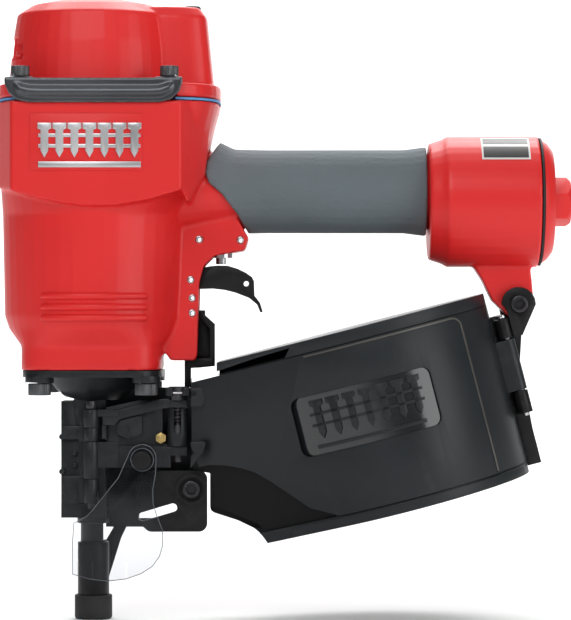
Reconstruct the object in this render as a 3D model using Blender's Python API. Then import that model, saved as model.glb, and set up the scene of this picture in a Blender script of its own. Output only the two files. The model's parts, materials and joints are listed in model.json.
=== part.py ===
"""Pneumatic coil nailer, modelled as the separate pieces it is assembled from.

Lengths below are millimetres and are turned into metres when a mesh is made.
+X points to the rear of the handle, +Z up, and -Y is the side that carries the badge.
The origin is the middle of the bounding box's bottom face, under the nose tip's plane.
"""
import math

import bmesh
import bpy
from mathutils import Matrix, Vector

MM = 0.001
GAP = 0.3
MERGE = 0.000002

# Drive line: the axis of the piston, the driver blade and the nose
DRIVE_X = -97.9
STROKE = 96.0

# Heights of the main joints between castings
HOUSING_BOTTOM = 127.0
HOUSING_TOP = 261.1
GASKET = 1.1
CAP_BOTTOM = HOUSING_TOP + GASKET + 2 * GAP
CAP_FLANGE_TOP = 269.8
CAP_TOP = 315.0

# Main barrel and its lid
BARREL_RADIUS = 46.0
LEFT_REACH = 47.1
RIGHT_REACH = 65.0
SIDE_REACH = 49.0
NECK_REACH = 35.4
BADGE_PANEL = (216.0, 257.0)
PANEL_REACH = 50.0
CAP_SCREW_PLACES = [(-131.2, -45.0), (-57.5, -45.0), (-131.2, 45.0), (-57.5, 45.0)]
SCREW_SHANK = 3.0
SCREW_HEAD = 4.7

# Handle, rear barrel and rear leg
HANDLE_Z = 217.4
REAR_Z = 212.2
REAR_RADIUS = 33.2
REAR_START = 72.6
REAR_END = 128.5
HEX_END = 145.0
HEX_ACROSS_CORNERS = 25.4
INLET_RADIUS = 7.2
LEG_HALF = 7.0
ARM_PIVOT = (118.1, 160.1)

# Trigger group
TRIGGER_PIVOT = (-47.9, 172.4)
VALVE_X = -32.9
EAR_HALF = 13.0
SLOT_HALF = 8.0
ROLL_PIN_RADIUS = 1.7
ROLL_PINS = {"valve_pin_1": (-43.6, 192.8), "valve_pin_2": (-22.7, 192.5),
             "guide_pin_1": (-47.2, 163.2), "guide_pin_2": (-47.2, 155.6)}

# Nose
NOSE_BOLT_PLACES = [(-123.2, -27.0), (-69.8, -27.0), (-123.2, 27.0), (-69.8, 27.0)]
NOSE_BOLT_HEAD = 5.8
BARREL_OUTER = 6.5
NAIL_BORE = 4.3
HINGE_Y = -19.0
TIP_RADIUS = 9.55

# Canister: its own axes are u (towards the rear), y and w (up along the drum)
TILT = math.radians(14.5)
CANISTER = (55.8, 0.0, 103.5)
DRUM_RADIUS = 66.0
THROAT_U = -108.0
THROAT_HALF = 17.0
COVER_TOP = 42.5
COVER_BOTTOM = -38.6
DRUM_U = -6.0
WALL = 2.6
SHELL_LOW = -44.5
SHELL_HIGH = 48.9
PARTING_Y = -4.0
COVER_HINGE = (64.4, -8.0)


# ---- materials -------------------------------------------------------------------------------
FINISHES = {
    "red_coat": ((0.76, 0.025, 0.022), 0.38, 0.0),
    "grip_rubber": ((0.15, 0.18, 0.20), 0.8, 0.0),
    "black_plastic": ((0.025, 0.03, 0.034), 0.5, 0.0),
    "black_oxide": ((0.03, 0.03, 0.032), 0.45, 0.7),
    "dark_steel": ((0.08, 0.08, 0.085), 0.35, 0.9),
    "bright_steel": ((0.6, 0.6, 0.62), 0.25, 1.0),
    "blue_gasket": ((0.07, 0.26, 0.6), 0.6, 0.0),
    "aluminium": ((0.62, 0.63, 0.65), 0.35, 1.0),
    "black_rubber": ((0.02, 0.02, 0.02), 0.85, 0.0),
    "clear_plastic": ((0.85, 0.9, 0.92), 0.12, 0.0),
    "silver_badge": ((0.7, 0.7, 0.72), 0.3, 0.8),
}


def finish_piece(piece, finish):
    """Give a piece its own material, made from one of the finishes."""
    colour, roughness, metallic = FINISHES[finish]
    material = bpy.data.materials.new(piece.name)
    material.use_nodes = True
    shader = material.node_tree.nodes["Principled BSDF"]
    shader.inputs["Base Color"].default_value = (*colour, 1.0)
    shader.inputs["Roughness"].default_value = roughness
    shader.inputs["Metallic"].default_value = metallic
    piece.data.materials.clear()
    piece.data.materials.append(material)
    piece.data.shade_smooth()
    piece.data.set_sharp_from_angle(angle=math.radians(30))


# ---- shaping ---------------------------------------------------------------------------------
def piece_from(name, work):
    """Turn a bmesh in millimetres into an object in metres."""
    bmesh.ops.scale(work, vec=(MM, MM, MM), verts=work.verts)
    bmesh.ops.recalc_face_normals(work, faces=work.faces)
    mesh = bpy.data.meshes.new(name)
    work.to_mesh(mesh)
    work.free()
    piece = bpy.data.objects.new(name, mesh)
    bpy.context.scene.collection.objects.link(piece)
    return piece


def prism(name, outline, low, high, axis="Y"):
    """Extrude a flat outline: XZ points along Y, XY points along Z or YZ points along X."""
    lift = {"Y": lambda a, b, h: (a, h, b), "Z": lambda a, b, h: (a, b, h),
            "X": lambda a, b, h: (h, a, b)}[axis]
    work = bmesh.new()
    base = work.faces.new([work.verts.new(lift(a, b, low)) for a, b in outline])
    grown = bmesh.ops.extrude_face_region(work, geom=[base])["geom"]
    moved = [item for item in grown if isinstance(item, bmesh.types.BMVert)]
    bmesh.ops.translate(work, verts=moved, vec=lift(0.0, 0.0, high - low))
    return piece_from(name, work)


def box(name, low, high):
    """A block between two corners."""
    outline = [(low[0], low[2]), (high[0], low[2]), (high[0], high[2]), (low[0], high[2])]
    return prism(name, outline, low[1], high[1])


def circle(centre, radius, sides, turn=0.0):
    """Points round a circle."""
    steps = [turn + 2 * math.pi * step / sides for step in range(sides)]
    return [(centre[0] + radius * math.cos(a), centre[1] + radius * math.sin(a)) for a in steps]


def rod(name, centre, radius, low, high, axis="Z", sides=20, turn=0.0):
    """A cylinder whose centre is given in the two directions across its axis."""
    return prism(name, circle(centre, radius, sides, turn), low, high, axis)


def turned(name, centre, profile, axis="Z", sides=32):
    """Spin a closed profile of (radius, height) points round an axis through centre."""
    work = bmesh.new()
    verts = [work.verts.new((radius, 0.0, height)) for radius, height in profile]
    edges = [work.edges.new(pair) for pair in zip(verts, verts[1:] + verts[:1])]
    bmesh.ops.spin(work, geom=verts + edges, cent=(0, 0, 0), axis=(0, 0, 1), dvec=(0, 0, 0),
                   angle=2 * math.pi, steps=sides, use_merge=True)
    bmesh.ops.remove_doubles(work, verts=work.verts, dist=0.001)
    loose = [edge for edge in work.edges if not edge.link_faces]
    bmesh.ops.delete(work, geom=loose, context="EDGES")
    turn = {"Z": Matrix(), "X": Matrix.Rotation(math.pi / 2, 4, "Y"),
            "Y": Matrix.Rotation(-math.pi / 2, 4, "X")}[axis]
    bmesh.ops.transform(work, matrix=Matrix.Translation(centre) @ turn, verts=work.verts)
    return piece_from(name, work)


def loft(name, rings):
    """Skin a stack of rings that all have the same number of points."""
    work = bmesh.new()
    loops = [[work.verts.new(point) for point in ring] for ring in rings]
    for lower, upper in zip(loops, loops[1:]):
        for i in range(len(lower)):
            j = (i + 1) % len(lower)
            work.faces.new((lower[i], lower[j], upper[j], upper[i]))
    work.faces.new(reversed(loops[0]))
    work.faces.new(loops[-1])
    return piece_from(name, work)


def soft_square(centre, left, right, side, power, height, sides=40):
    """A ring between a circle (power 2) and a square, with its own reach to each side."""
    ring = []
    for step in range(sides):
        angle = 2 * math.pi * step / sides
        across, along = math.cos(angle), math.sin(angle)
        reach = right if across > 0 else left
        x = math.copysign(abs(across) ** (2 / power), across) * reach
        y = math.copysign(abs(along) ** (2 / power), along) * side
        ring.append((centre + x, y, height))
    return ring


def helix(name, centre, radius, wire, low, high, turns, axis="Z", sides=5, steps=9):
    """A round-wire spring along an axis, with flat wire ends."""
    rings = []
    count = int(turns * steps)
    for step in range(count + 1):
        angle = 2 * math.pi * step / steps
        height = low + wire + (high - low - 2 * wire) * step / count
        ring = []
        for side in range(sides):
            around = 2 * math.pi * side / sides
            reach = radius + wire * math.cos(around)
            spot = (reach * math.cos(angle), reach * math.sin(angle), height + wire * math.sin(around))
            if axis == "X":
                spot = (spot[2], spot[1], spot[0])
            ring.append(tuple(a + b for a, b in zip(spot, centre)))
        rings.append(ring)
    return loft(name, rings)


def combine(piece, other, operation):
    """Join, cut or keep the common part of two pieces; the second one is used up."""
    modifier = piece.modifiers.new(operation.title(), "BOOLEAN")
    modifier.operation = operation
    modifier.object = other
    bpy.context.view_layer.update()
    evaluated = piece.evaluated_get(bpy.context.evaluated_depsgraph_get())
    result = bpy.data.meshes.new_from_object(evaluated)
    work = bmesh.new()
    work.from_mesh(result)
    bmesh.ops.remove_doubles(work, verts=work.verts, dist=MERGE)
    bmesh.ops.dissolve_degenerate(work, edges=work.edges, dist=MERGE)
    work.to_mesh(result)
    work.free()
    piece.modifiers.clear()
    piece.data = result
    bpy.data.objects.remove(other)
    return piece


def join(piece, *others):
    for other in others:
        combine(piece, other, "UNION")
    return piece


def cut(piece, *others):
    for other in others:
        combine(piece, other, "DIFFERENCE")
    return piece


def set_origin(piece, spot):
    """Put a piece's origin at a spot in millimetres without moving its shape."""
    place = Vector(spot) * MM
    piece.data.transform(Matrix.Translation(-place))
    piece.location = place
    return piece


# ---- main castings ---------------------------------------------------------------------------
def barrel(name, grow=0.0):
    """The barrel's outer shape: square neck, round middle and boxy top."""
    sections = [(HOUSING_BOTTOM, NECK_REACH, NECK_REACH, NECK_REACH, 5.0),
                (139.0, NECK_REACH, NECK_REACH, NECK_REACH, 5.0),
                (147.4, 42.6, 42.4, 42.4, 2.2),
                (154.0, 45.0, 45.0, 45.0, 2.0),
                (205.0, BARREL_RADIUS, 47.0, BARREL_RADIUS, 2.05),
                (222.0, 46.6, 56.0, 47.0, 2.8),
                (250.0, LEFT_REACH - 0.2, RIGHT_REACH - 3, SIDE_REACH - 1, 3.4),
                (HOUSING_TOP, LEFT_REACH, RIGHT_REACH, SIDE_REACH, 3.6)]
    return loft(name, [soft_square(DRIVE_X, left + grow, right + grow, side + grow, power, z)
                       for z, left, right, side, power in sections])


def handle_core(name, grow=0.0):
    """The round bar of the handle, flared where it meets the barrel."""
    stations = ((-70.0, 26.0), (-40.0, 20.5), (-24.0, 18.0), (76.0, 18.0))
    return loft(name, [[(x, y * (reach + grow), HANDLE_Z + z * (reach + grow))
                        for y, z in circle((0, 0), 1.0, 28, 0.07)] for x, reach in stations])


def trigger_ears(name, grow=0.0):
    """The block under the handle that is slotted for the trigger."""
    outline = [(-62.0, 137.0), (-58.0, 131.5), (-45.5, 131.5), (-44.6, 134.5), (-43.7, 170.0),
               (-41.5, 179.0), (-36.0, 184.5), (-20.5, 187.2), (-18.6 + grow, 193.5),
               (-24.6 + grow, 204.0), (-33.0 + grow, 215.0), (-62.0, 215.0)]
    return prism(name, outline, -EAR_HALF - grow, EAR_HALF + grow)


def main_housing():
    """Barrel, handle core, rear barrel, rear leg and trigger ears in one casting."""
    body = barrel("main_housing")
    half = [(-134.0, 35.0), (-127.0, PANEL_REACH), (-66.0, PANEL_REACH), (-53.0, 40.0)]
    plan = half + [(x, -y) for x, y in reversed(half)]
    handle = handle_core("handle")
    rear = turned("rear", (0, 0, REAR_Z), [(0.0, REAR_START), (29.5, REAR_START), (31.5, 79.0),
                                         (REAR_RADIUS, 82.0), (REAR_RADIUS, REAR_END), (0.0, REAR_END)], "X", 40)
    leg_outline = [(87.0, 200.0), (91.0, 186.0), (100.0, 172.0), (104.8, 162.0)]
    leg_outline += [(ARM_PIVOT[0] + 8.2 * math.cos(a), ARM_PIVOT[1] + 8.2 * math.sin(a))
                    for a in [math.radians(d) for d in range(-150, 1, 25)]]
    leg_outline += [(124.5, 178.0), (124.5, 200.0)]
    leg = prism("leg", leg_outline, -LEG_HALF, LEG_HALF)
    ears = trigger_ears("ears")
    panel = prism("panel", plan, *BADGE_PANEL, "Z")
    join(body, handle, rear, leg, ears, panel)

    hollows = [rod("cavity", (DRIVE_X, 0), 38.5, 152.0, 300.0, sides=36),
               rod("nose_hole", (DRIVE_X, 0), 28.5, 100.0, 153.0, sides=32),
               rod("handle_air", (0, HANDLE_Z), 12.0, -72.0, 140.0, "X", sides=16),
               rod("rear_air", (0, REAR_Z), 24.0, 92.0, 140.0, "X", sides=24),
               box("trigger_slot", (-54.0, -SLOT_HALF, 120.0), (0.0, SLOT_HALF, 184.2)),
               rod("valve_hole", (VALVE_X, 0), 6.8, 180.0, 204.6, sides=20),
               rod("arm_hole", ARM_PIVOT, 3.3, -20.0, 20.0, "Y", sides=16)]
    hollows += [rod("pin_hole", place, ROLL_PIN_RADIUS + 0.12, -20.0, 20.0, "Y", sides=12)
                for place in [*ROLL_PINS.values(), TRIGGER_PIVOT]]
    hollows += [rod("screw_hole", place, SCREW_SHANK + GAP, 245.0, 300.0, sides=12)
                for place in CAP_SCREW_PLACES]
    hollows += [rod("bolt_hole", place, 3.3, 100.0, 136.0, sides=12) for place in NOSE_BOLT_PLACES]
    cut(body, *hollows)
    finish_piece(body, "red_coat")


def flange_ring(z):
    return soft_square(DRIVE_X, LEFT_REACH, RIGHT_REACH, SIDE_REACH, 3.6, z)


def cap_gasket():
    gasket = loft("cap_gasket", [flange_ring(HOUSING_TOP + GAP), flange_ring(HOUSING_TOP + GAP + GASKET)])
    cut(gasket, rod("opening", (DRIVE_X, 0), 38.5, 200.0, 300.0, sides=36))
    cut(gasket, *[rod("hole", place, SCREW_SHANK + GAP, 200.0, 300.0, sides=12)
                  for place in CAP_SCREW_PLACES])
    finish_piece(gasket, "blue_gasket")


def top_cap():
    """Lid with a bolting flange, a domed middle, a rear block and an exhaust slot."""
    cap = loft("top_cap", [flange_ring(CAP_BOTTOM), flange_ring(CAP_FLANGE_TOP)])
    levels = [(268.0, 43.0, 41.5, 2.3), (292.0, 40.8, 39.5, 2.3), (306.5, 38.5, 37.0, 2.3),
              (311.5, 31.0, 30.0, 2.2), (CAP_TOP, 14.0, 14.0, 2.0)]
    dome = loft("dome", [soft_square(DRIVE_X, reach, reach, side, power, z)
                         for z, reach, side, power in levels])
    rear_levels = [(268.0, 61.9, 25.0), (305.0, 58.2, 22.5), (310.0, 54.5, 20.0)]
    rear = loft("rear", [soft_square(DRIVE_X, 20.0, right, side, 6.0, z) for z, right, side in rear_levels])
    join(cap, dome, rear)
    cut(cap, rod("cavity", (DRIVE_X, 0), 35.0, 200.0, 297.0, sides=36),
        box("exhaust", (-150.0, -18.0, 284.5), (-120.0, 18.0, 294.5)),
        *[rod("hole", place, SCREW_SHANK + GAP, 200.0, 300.0, sides=12) for place in CAP_SCREW_PLACES],
        rod("plug_hole", (-47.5, 0), 4.2, 304.0, 320.0, sides=16))
    finish_piece(cap, "red_coat")
    plug = turned("cap_plug", (-47.5, 0, 0), [(0.0, 304.4), (3.9, 304.4), (3.9, 310.4), (4.6, 310.4),
                                             (4.0, 311.7), (0.0, 311.7)], sides=16)
    finish_piece(plug, "dark_steel")


def cap_screws():
    """Socket head screws through the cap flange and the gasket into the housing."""
    foot_top = CAP_FLANGE_TOP + GAP + 2.2
    for number, (x, y) in enumerate(CAP_SCREW_PLACES, start=1):
        head_low = foot_top + GAP
        screw = rod(f"cap_screw_{number}", (x, y), SCREW_HEAD, head_low, head_low + 5.2, sides=20)
        join(screw, rod("shank", (x, y), SCREW_SHANK, 246.0, head_low + 1.0, sides=12))
        cut(screw, rod("socket", (x, y), 2.7, head_low + 2.4, 290.0, sides=6))
        finish_piece(screw, "dark_steel")


def wear_guards():
    """A steel bar along each side of the cap, held by the cap screws' feet."""
    for side, name in ((-1, "wear_guard_near"), (1, "wear_guard_far")):
        outline = [(-137.5, 270.7), (-137.8, 266.0), (-135.5, 261.5), (-131.0, 259.3), (-58.0, 259.3),
                   (-53.4, 261.5), (-51.4, 266.0), (-51.6, 270.7)]
        near, far = sorted((side * 49.6, side * 54.0))
        bar = prism(name, outline, near, far)
        for x in (-131.2, -57.5):
            low = CAP_FLANGE_TOP + GAP
            inner, outer = sorted((side * 39.6, side * 53.0))
            join(bar, box("foot", (x - 6.2, inner, low), (x + 6.2, outer, low + 2.2)))
            cut(bar, rod("hole", (x, side * 45.0), SCREW_SHANK + GAP, 250.0, 280.0, sides=12))
        finish_piece(bar, "dark_steel")


def rear_end():
    """Seal and red end cap with its six-sided air inlet boss."""
    seal = turned("end_cap_seal", (0, 0, REAR_Z), [(26.0, REAR_END + GAP), (32.6, REAR_END + GAP),
                                                 (32.6, REAR_END + 1.3), (26.0, REAR_END + 1.3)], "X", 40)
    finish_piece(seal, "black_rubber")
    start = REAR_END + 1.6
    cap = turned("end_cap", (0, 0, REAR_Z), [(0.0, start), (31.5, start), (29.5, 133.0), (26.0, 135.6),
                                            (0.0, 135.6)], "X", 40)
    boss = rod("boss", (0, REAR_Z), HEX_ACROSS_CORNERS / 2, 130.5, HEX_END, "X", 6, math.radians(103))
    join(cap, boss)
    cut(cap, rod("inlet", (0, REAR_Z), INLET_RADIUS, 100.0, 160.0, "X", 20))
    finish_piece(cap, "red_coat")


def handle_grip():
    """Rubber sleeve round the handle, with a curved flap where it meets the barrel."""
    stations = [(-44.0, 27.0, 23.0), (-33.0, 25.0, 22.0), (-26.0, 21.6, 20.8), (-8.0, 21.2, 19.9),
                (60.0, 21.3, 20.0), (REAR_START - 1.0, 22.8, 21.2)]
    grip = loft("handle_grip", [[(x, y * across, HANDLE_Z + z * tall) for y, z in circle((0, 0), 1.0, 28)]
                                for x, tall, across in stations])
    front_edge = [(-60.0, 185.0), (-12.0, 185.0), (-18.1, 194.8), (-24.2, 205.0), (-32.4, 215.7),
                  (-38.6, 221.0), (-40.6, 226.5), (-39.5, 232.6), (-34.4, 240.7), (-31.0, 246.0), (-60.0, 246.0)]
    cut(grip, handle_core("core", 0.35), barrel("side", 0.35), trigger_ears("ears", 0.35),
        prism("front_edge", front_edge, -40, 40))
    finish_piece(grip, "grip_rubber")


def badge():
    plate = box("badge", (-126.0, -PANEL_REACH - 1.3, 226.0), (-70.5, -PANEL_REACH - GAP, 254.0))
    finish_piece(plate, "silver_badge")


# ---- drive parts inside the barrel -----------------------------------------------------------
def drive_parts():
    """Sleeve, head valve with its spring, piston with the driver blade, and the bumper."""
    centre = (DRIVE_X, 0, 0)
    sleeve = turned("cylinder_sleeve", centre, [(28.0, 152.3), (31.0, 152.3), (31.0, 250.0), (33.0, 251.0),
                                                (33.0, 257.0), (28.0, 257.0)], sides=36)
    finish_piece(sleeve, "aluminium")
    valve = turned("head_valve", centre, [(12.0, 259.0), (24.0, 259.0), (24.0, 257.3), (34.2, 257.3),
                                         (34.2, 266.0), (12.0, 266.0)], sides=36)
    finish_piece(set_origin(valve, (DRIVE_X, 0, 257.3)), "black_rubber")
    spring = helix("head_valve_spring", centre, 20.0, 1.2, 266.4, 296.6, 3, steps=12)
    finish_piece(spring, "bright_steel")
    piston = turned("piston", centre, [(0.0, 244.0), (27.4, 244.0), (27.4, 256.6), (20.0, 256.6),
                                      (18.0, 252.0), (0.0, 252.0)], sides=32)
    finish_piece(set_origin(piston, (DRIVE_X, 0, 244.0)), "aluminium")
    blade = rod("driver_blade", (DRIVE_X, 0), 3.3, 16.0 + STROKE, 243.7, sides=16)
    finish_piece(set_origin(blade, (DRIVE_X, 0, 244.0)), "dark_steel")
    bumper = turned("bumper", centre, [(7.0, 131.6), (28.1, 131.6), (28.1, 140.0), (22.0, 147.0),
                                      (9.0, 147.0)], sides=32)
    finish_piece(bumper, "black_rubber")


def trigger_group():
    """Trigger on its pin, with the air valve that it pushes."""
    top = [(-50.5, 176.8), (-44.0, 178.2), (-38.5, 179.3), (-34.4, 179.7), (-29.3, 179.6),
           (-24.2, 178.0), (-20.1, 176.0), (-17.1, 173.9), (-16.1, 171.9), (-15.8, 164.4)]
    tail = [(-13.0, 160.8), (-11.6, 156.2), (-12.8, 155.8), (-14.4, 159.8), (-18.4, 163.2)]
    under = [(-25.8, 166.0), (-30.9, 167.3), (-37.0, 168.0), (-50.5, 167.6), (-52.8, 170.0), (-53.0, 174.0)]
    trigger = prism("trigger", top + tail + under, -7.0, 7.0)
    cut(trigger, rod("pivot", TRIGGER_PIVOT, ROLL_PIN_RADIUS + 0.15, -20, 20, "Y", sides=16),
        rod("hole", (-20.0, 170.5), 1.4, -20, 20, "Y", sides=12))
    finish_piece(set_origin(trigger, (TRIGGER_PIVOT[0], 0, TRIGGER_PIVOT[1])), "black_oxide")

    for name, place in {"trigger_pin": TRIGGER_PIVOT, **ROLL_PINS}.items():
        pin = rod(name, place, ROLL_PIN_RADIUS, -EAR_HALF - 0.3, EAR_HALF + 0.3, "Y", sides=12)
        cut(pin, rod("bore", place, 1.0, -20, 20, "Y", sides=10))
        finish_piece(pin, "bright_steel")

    centre = (VALVE_X, 0, 0)
    valve = turned("trigger_valve_body", centre, [(3.0, 183.6), (6.0, 183.6), (6.0, 187.0), (6.4, 187.0),
                                                 (6.4, 204.2), (0.0, 204.2), (0.0, 203.2), (3.0, 203.2)],
                   sides=20)
    finish_piece(valve, "aluminium")
    stem = rod("valve_stem", (VALVE_X, 0), 2.6, 180.4, 197.0, sides=16)
    finish_piece(set_origin(stem, (VALVE_X, 0, 180.4)), "bright_steel")
    finish_piece(helix("valve_spring", centre, 2.1, 0.4, 197.3, 202.9, 3), "bright_steel")


# ---- nose ------------------------------------------------------------------------------------
def nose_body():
    """Flange, dome, nose column, drive barrel and the far wall of the nail track."""
    low, high = 123.4, HOUSING_BOTTOM - GAP
    flange = loft("nose_body", [soft_square(DRIVE_X + 0.6, NECK_REACH, NECK_REACH, NECK_REACH, 5.0, z, 36)
                                for z in (low, high)])
    parts = [rod("plug", (DRIVE_X, 0), 28.2, 126.0, 131.3, sides=32),
             loft("dome", [soft_square(DRIVE_X, reach, reach, reach, 2.0, z, 28)
                           for z, reach in ((124.0, 26.0), (118.0, 22.0), (111.5, 14.0))]),
             box("column", (-113.5, -12.0, 52.0), (-91.0, 12.0, 118.0)),
             rod("barrel", (DRIVE_X, 0), BARREL_OUTER, 14.0, 53.0, sides=20),
             box("far_wall", (-92.0, 8.0, 46.0), (-44.0, 11.0, 117.4))]
    parts += [rod("boss", place, 7.2, 120.6, 124.0, sides=16) for place in NOSE_BOLT_PLACES]
    for bottom, top in ((60.0, 72.0), (91.0, 97.7)):
        parts.append(rod("knuckle", (DRIVE_X, HINGE_Y), 3.8, bottom, top, sides=16))
        parts.append(box("hinge_block", (-104.0, -18.0, bottom), (DRIVE_X, -11.0, top)))
    join(flange, *parts)
    cut(flange, rod("bore", (DRIVE_X, 0), NAIL_BORE, 0.0, 140.0, sides=16),
        box("nail_entry", (DRIVE_X, -NAIL_BORE, 40.0), (-80.0, NAIL_BORE, 118.6)),
        box("pawl_window", (-90.9, 6.0, 90.0), (-76.0, 12.5, 100.0)),
        rod("pin_bore", (DRIVE_X, HINGE_Y), 1.95, 50.0, 110.0, sides=12),
        *[rod("bolt_hole", place, 3.3, 100.0, 140.0, sides=12) for place in NOSE_BOLT_PLACES])
    finish_piece(flange, "black_oxide")

    for number, place in enumerate(NOSE_BOLT_PLACES, start=1):
        bolt = rod(f"nose_bolt_{number}", place, NOSE_BOLT_HEAD, 114.4, 120.3, sides=20)
        join(bolt, rod("shank", place, 3.0, 119.0, 134.0, sides=12))
        cut(bolt, rod("socket", place, 3.4, 110.0, 117.4, sides=6))
        finish_piece(bolt, "dark_steel")


def door_group():
    """Feed door on its hinge pin, with the sprung latch and the clear shield it carries."""
    axis = (DRIVE_X, HINGE_Y)
    bar = prism("feed_door", [(-90.5, 77.6), (-58.0, 77.6), (-58.0, 88.2), (-62.0, 90.6), (-62.0, 110.0),
                              (-74.0, 111.5), (-90.5, 108.0)], -16.6, -8.5)
    parts = []
    for low, high in ((72.3, 90.7), (98.0, 107.0)):
        parts.append(rod("knuckle", axis, 4.2, low, high, sides=16))
        parts.append(box("arm", (DRIVE_X, -21.0, low + 5.5), (-84.0, -14.5, high)))
    parts.append(box("lower_shelf", (-62.5, -19.5, 83.8), (-49.6, -12.5, 88.2)))
    parts.append(box("upper_shelf", (-62.5, -19.5, 108.0), (-49.6, -12.5, 111.2)))
    join(bar, *parts)
    cut(bar, rod("pin_bore", axis, 1.95, 50.0, 120.0, sides=12),
        rod("latch_bore", (-54.3, -16.0), 2.6, 80.0, 115.0, sides=14),
        rod("button_hole", (-72.4, 81.0), 1.9, -20.0, -5.0, "Y", sides=12))
    finish_piece(set_origin(bar, (*axis, 90.0)), "black_oxide")
    pin = rod("door_hinge_pin", axis, 1.75, 57.0, 110.0, sides=12)
    join(pin, rod("head", axis, 2.6, 107.4, 111.2, sides=16))
    finish_piece(pin, "dark_steel")

    latch = rod("door_latch", (-54.3, -16.0), 2.3, 80.5, 118.5, sides=14)
    join(latch, rod("collar", (-54.3, -16.0), 4.1, 88.5, 99.0, sides=20),
         rod("head", (-54.3, -16.0), 4.6, 111.6, 118.5, sides=20))
    finish_piece(set_origin(latch, (-54.3, -16.0, 88.5)), "dark_steel")
    spring = helix("latch_spring", (-54.3, -16.0, 0), 3.2, 0.45, 99.3, 107.7, 4)
    finish_piece(set_origin(spring, (-54.3, -16.0, 107.7)), "bright_steel")

    shield_outline = [(-79.3, 82.0), (-98.4, 56.0), (-107.2, 50.0), (-107.2, 23.0), (-98.0, 20.4),
                      (-80.0, 20.8), (-66.0, 27.0), (-62.6, 34.0), (-63.0, 50.0), (-67.0, 60.0),
                      (-63.8, 81.0), (-67.0, 86.5), (-74.0, 87.5)]
    shield = prism("nail_shield", shield_outline, -24.6, -23.6)
    cut(shield, rod("hole", (-72.4, 81.0), 1.9, -30.0, -20.0, "Y", sides=12))
    finish_piece(set_origin(shield, (*axis, 90.0)), "clear_plastic")
    button = rod("shield_button", (-72.4, 81.0), 4.4, -27.2, -24.9, "Y", sides=20)
    join(button, rod("neck", (-72.4, 81.0), 1.6, -25.5, -12.0, "Y", sides=12),
         rod("spacer", (-72.4, 81.0), 3.4, -23.3, -16.9, "Y", sides=16))
    finish_piece(set_origin(button, (*axis, 90.0)), "black_oxide")


def feed_group():
    """Air cylinder on the far side whose piston steps the nails along with a pawl."""
    centre = (0, 23.0, 95.0)
    cylinder = turned("feed_cylinder", centre, [(2.6, -74.5), (8.5, -74.5), (8.5, -48.6), (0.0, -48.6),
                                               (0.0, -50.3), (6.6, -50.3), (6.6, -72.0), (2.6, -72.0)],
                      "X", 24)
    join(cylinder, box("foot", (-70.0, 11.3, 90.5), (-52.6, 16.0, 99.5)))
    finish_piece(cylinder, "black_oxide")
    piston = turned("feed_piston", centre, [(0.0, -90.2), (2.2, -90.2), (2.2, -71.0), (6.3, -71.0),
                                           (6.3, -67.0), (0.0, -67.0)], "X", 20)
    finish_piece(set_origin(piston, (-71.0, 23.0, 95.0)), "bright_steel")
    pawl = box("feed_pawl", (-90.4, 6.4, 92.0), (-86.4, 26.5, 98.0))
    cut(pawl, rod("hole", (23.0, 95.0), 2.4, -95.0, -80.0, "X", sides=16))
    finish_piece(set_origin(pawl, (-90.4, 23.0, 95.0)), "dark_steel")
    spring = helix("feed_spring", centre, 5.0, 0.6, -58.2, -50.7, 4, "X", steps=10)
    finish_piece(spring, "bright_steel")


def contact_group():
    """Work contact at the nose, its linkage up to the trigger slot and the return spring."""
    collar = rod("work_contact", (DRIVE_X, 0), 8.0, 4.6, 39.0, sides=24)
    web = prism("web", [(-98.0, 16.0), (-92.0, 16.0), (-84.5, 40.0), (-72.5, 65.0), (-48.2, 72.5),
                        (-48.2, 122.0), (-51.4, 122.0), (-51.4, 80.0), (-73.0, 72.0), (-98.0, 29.0)], 11.6, 14.0)
    bridge = box("bridge", (-101.0, 4.0, 16.5), (-92.0, 13.0, 34.0))
    join(collar, web, bridge)
    cut(collar, rod("bore", (DRIVE_X, 0), BARREL_OUTER + 0.4, 0.0, 60.0, sides=20))
    finish_piece(set_origin(collar, (DRIVE_X, 0, 4.6)), "black_oxide")
    link = prism("safety_linkage", [(-51.4, 118.0), (-48.2, 118.0), (-48.2, 127.5), (-36.0, 128.5),
                                    (-36.0, 150.0), (-41.0, 154.5), (-41.0, 157.0), (-43.8, 157.0),
                                    (-43.8, 153.5), (-38.5, 147.5), (-38.5, 132.5), (-51.4, 132.5)], -3.0, 3.0)
    join(link, box("cross_bar", (-51.4, -3.0, 118.0), (-48.2, 11.3, 122.0)))
    finish_piece(set_origin(link, (DRIVE_X, 0, 4.6)), "black_oxide")
    tip = turned("nose_tip_cap", (DRIVE_X, 0, 0), [(4.6, 0.0), (TIP_RADIUS - 0.6, 0.0), (TIP_RADIUS, 0.8),
                                                  (TIP_RADIUS, 12.2), (8.3, 12.2), (8.3, 4.2), (4.6, 4.2)],
                 sides=28)
    finish_piece(set_origin(tip, (DRIVE_X, 0, 4.6)), "black_rubber")
    spring = helix("contact_spring", (-49.4, 0, 0), 2.1, 0.45, 132.9, 153.5, 5)
    finish_piece(spring, "bright_steel")


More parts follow.
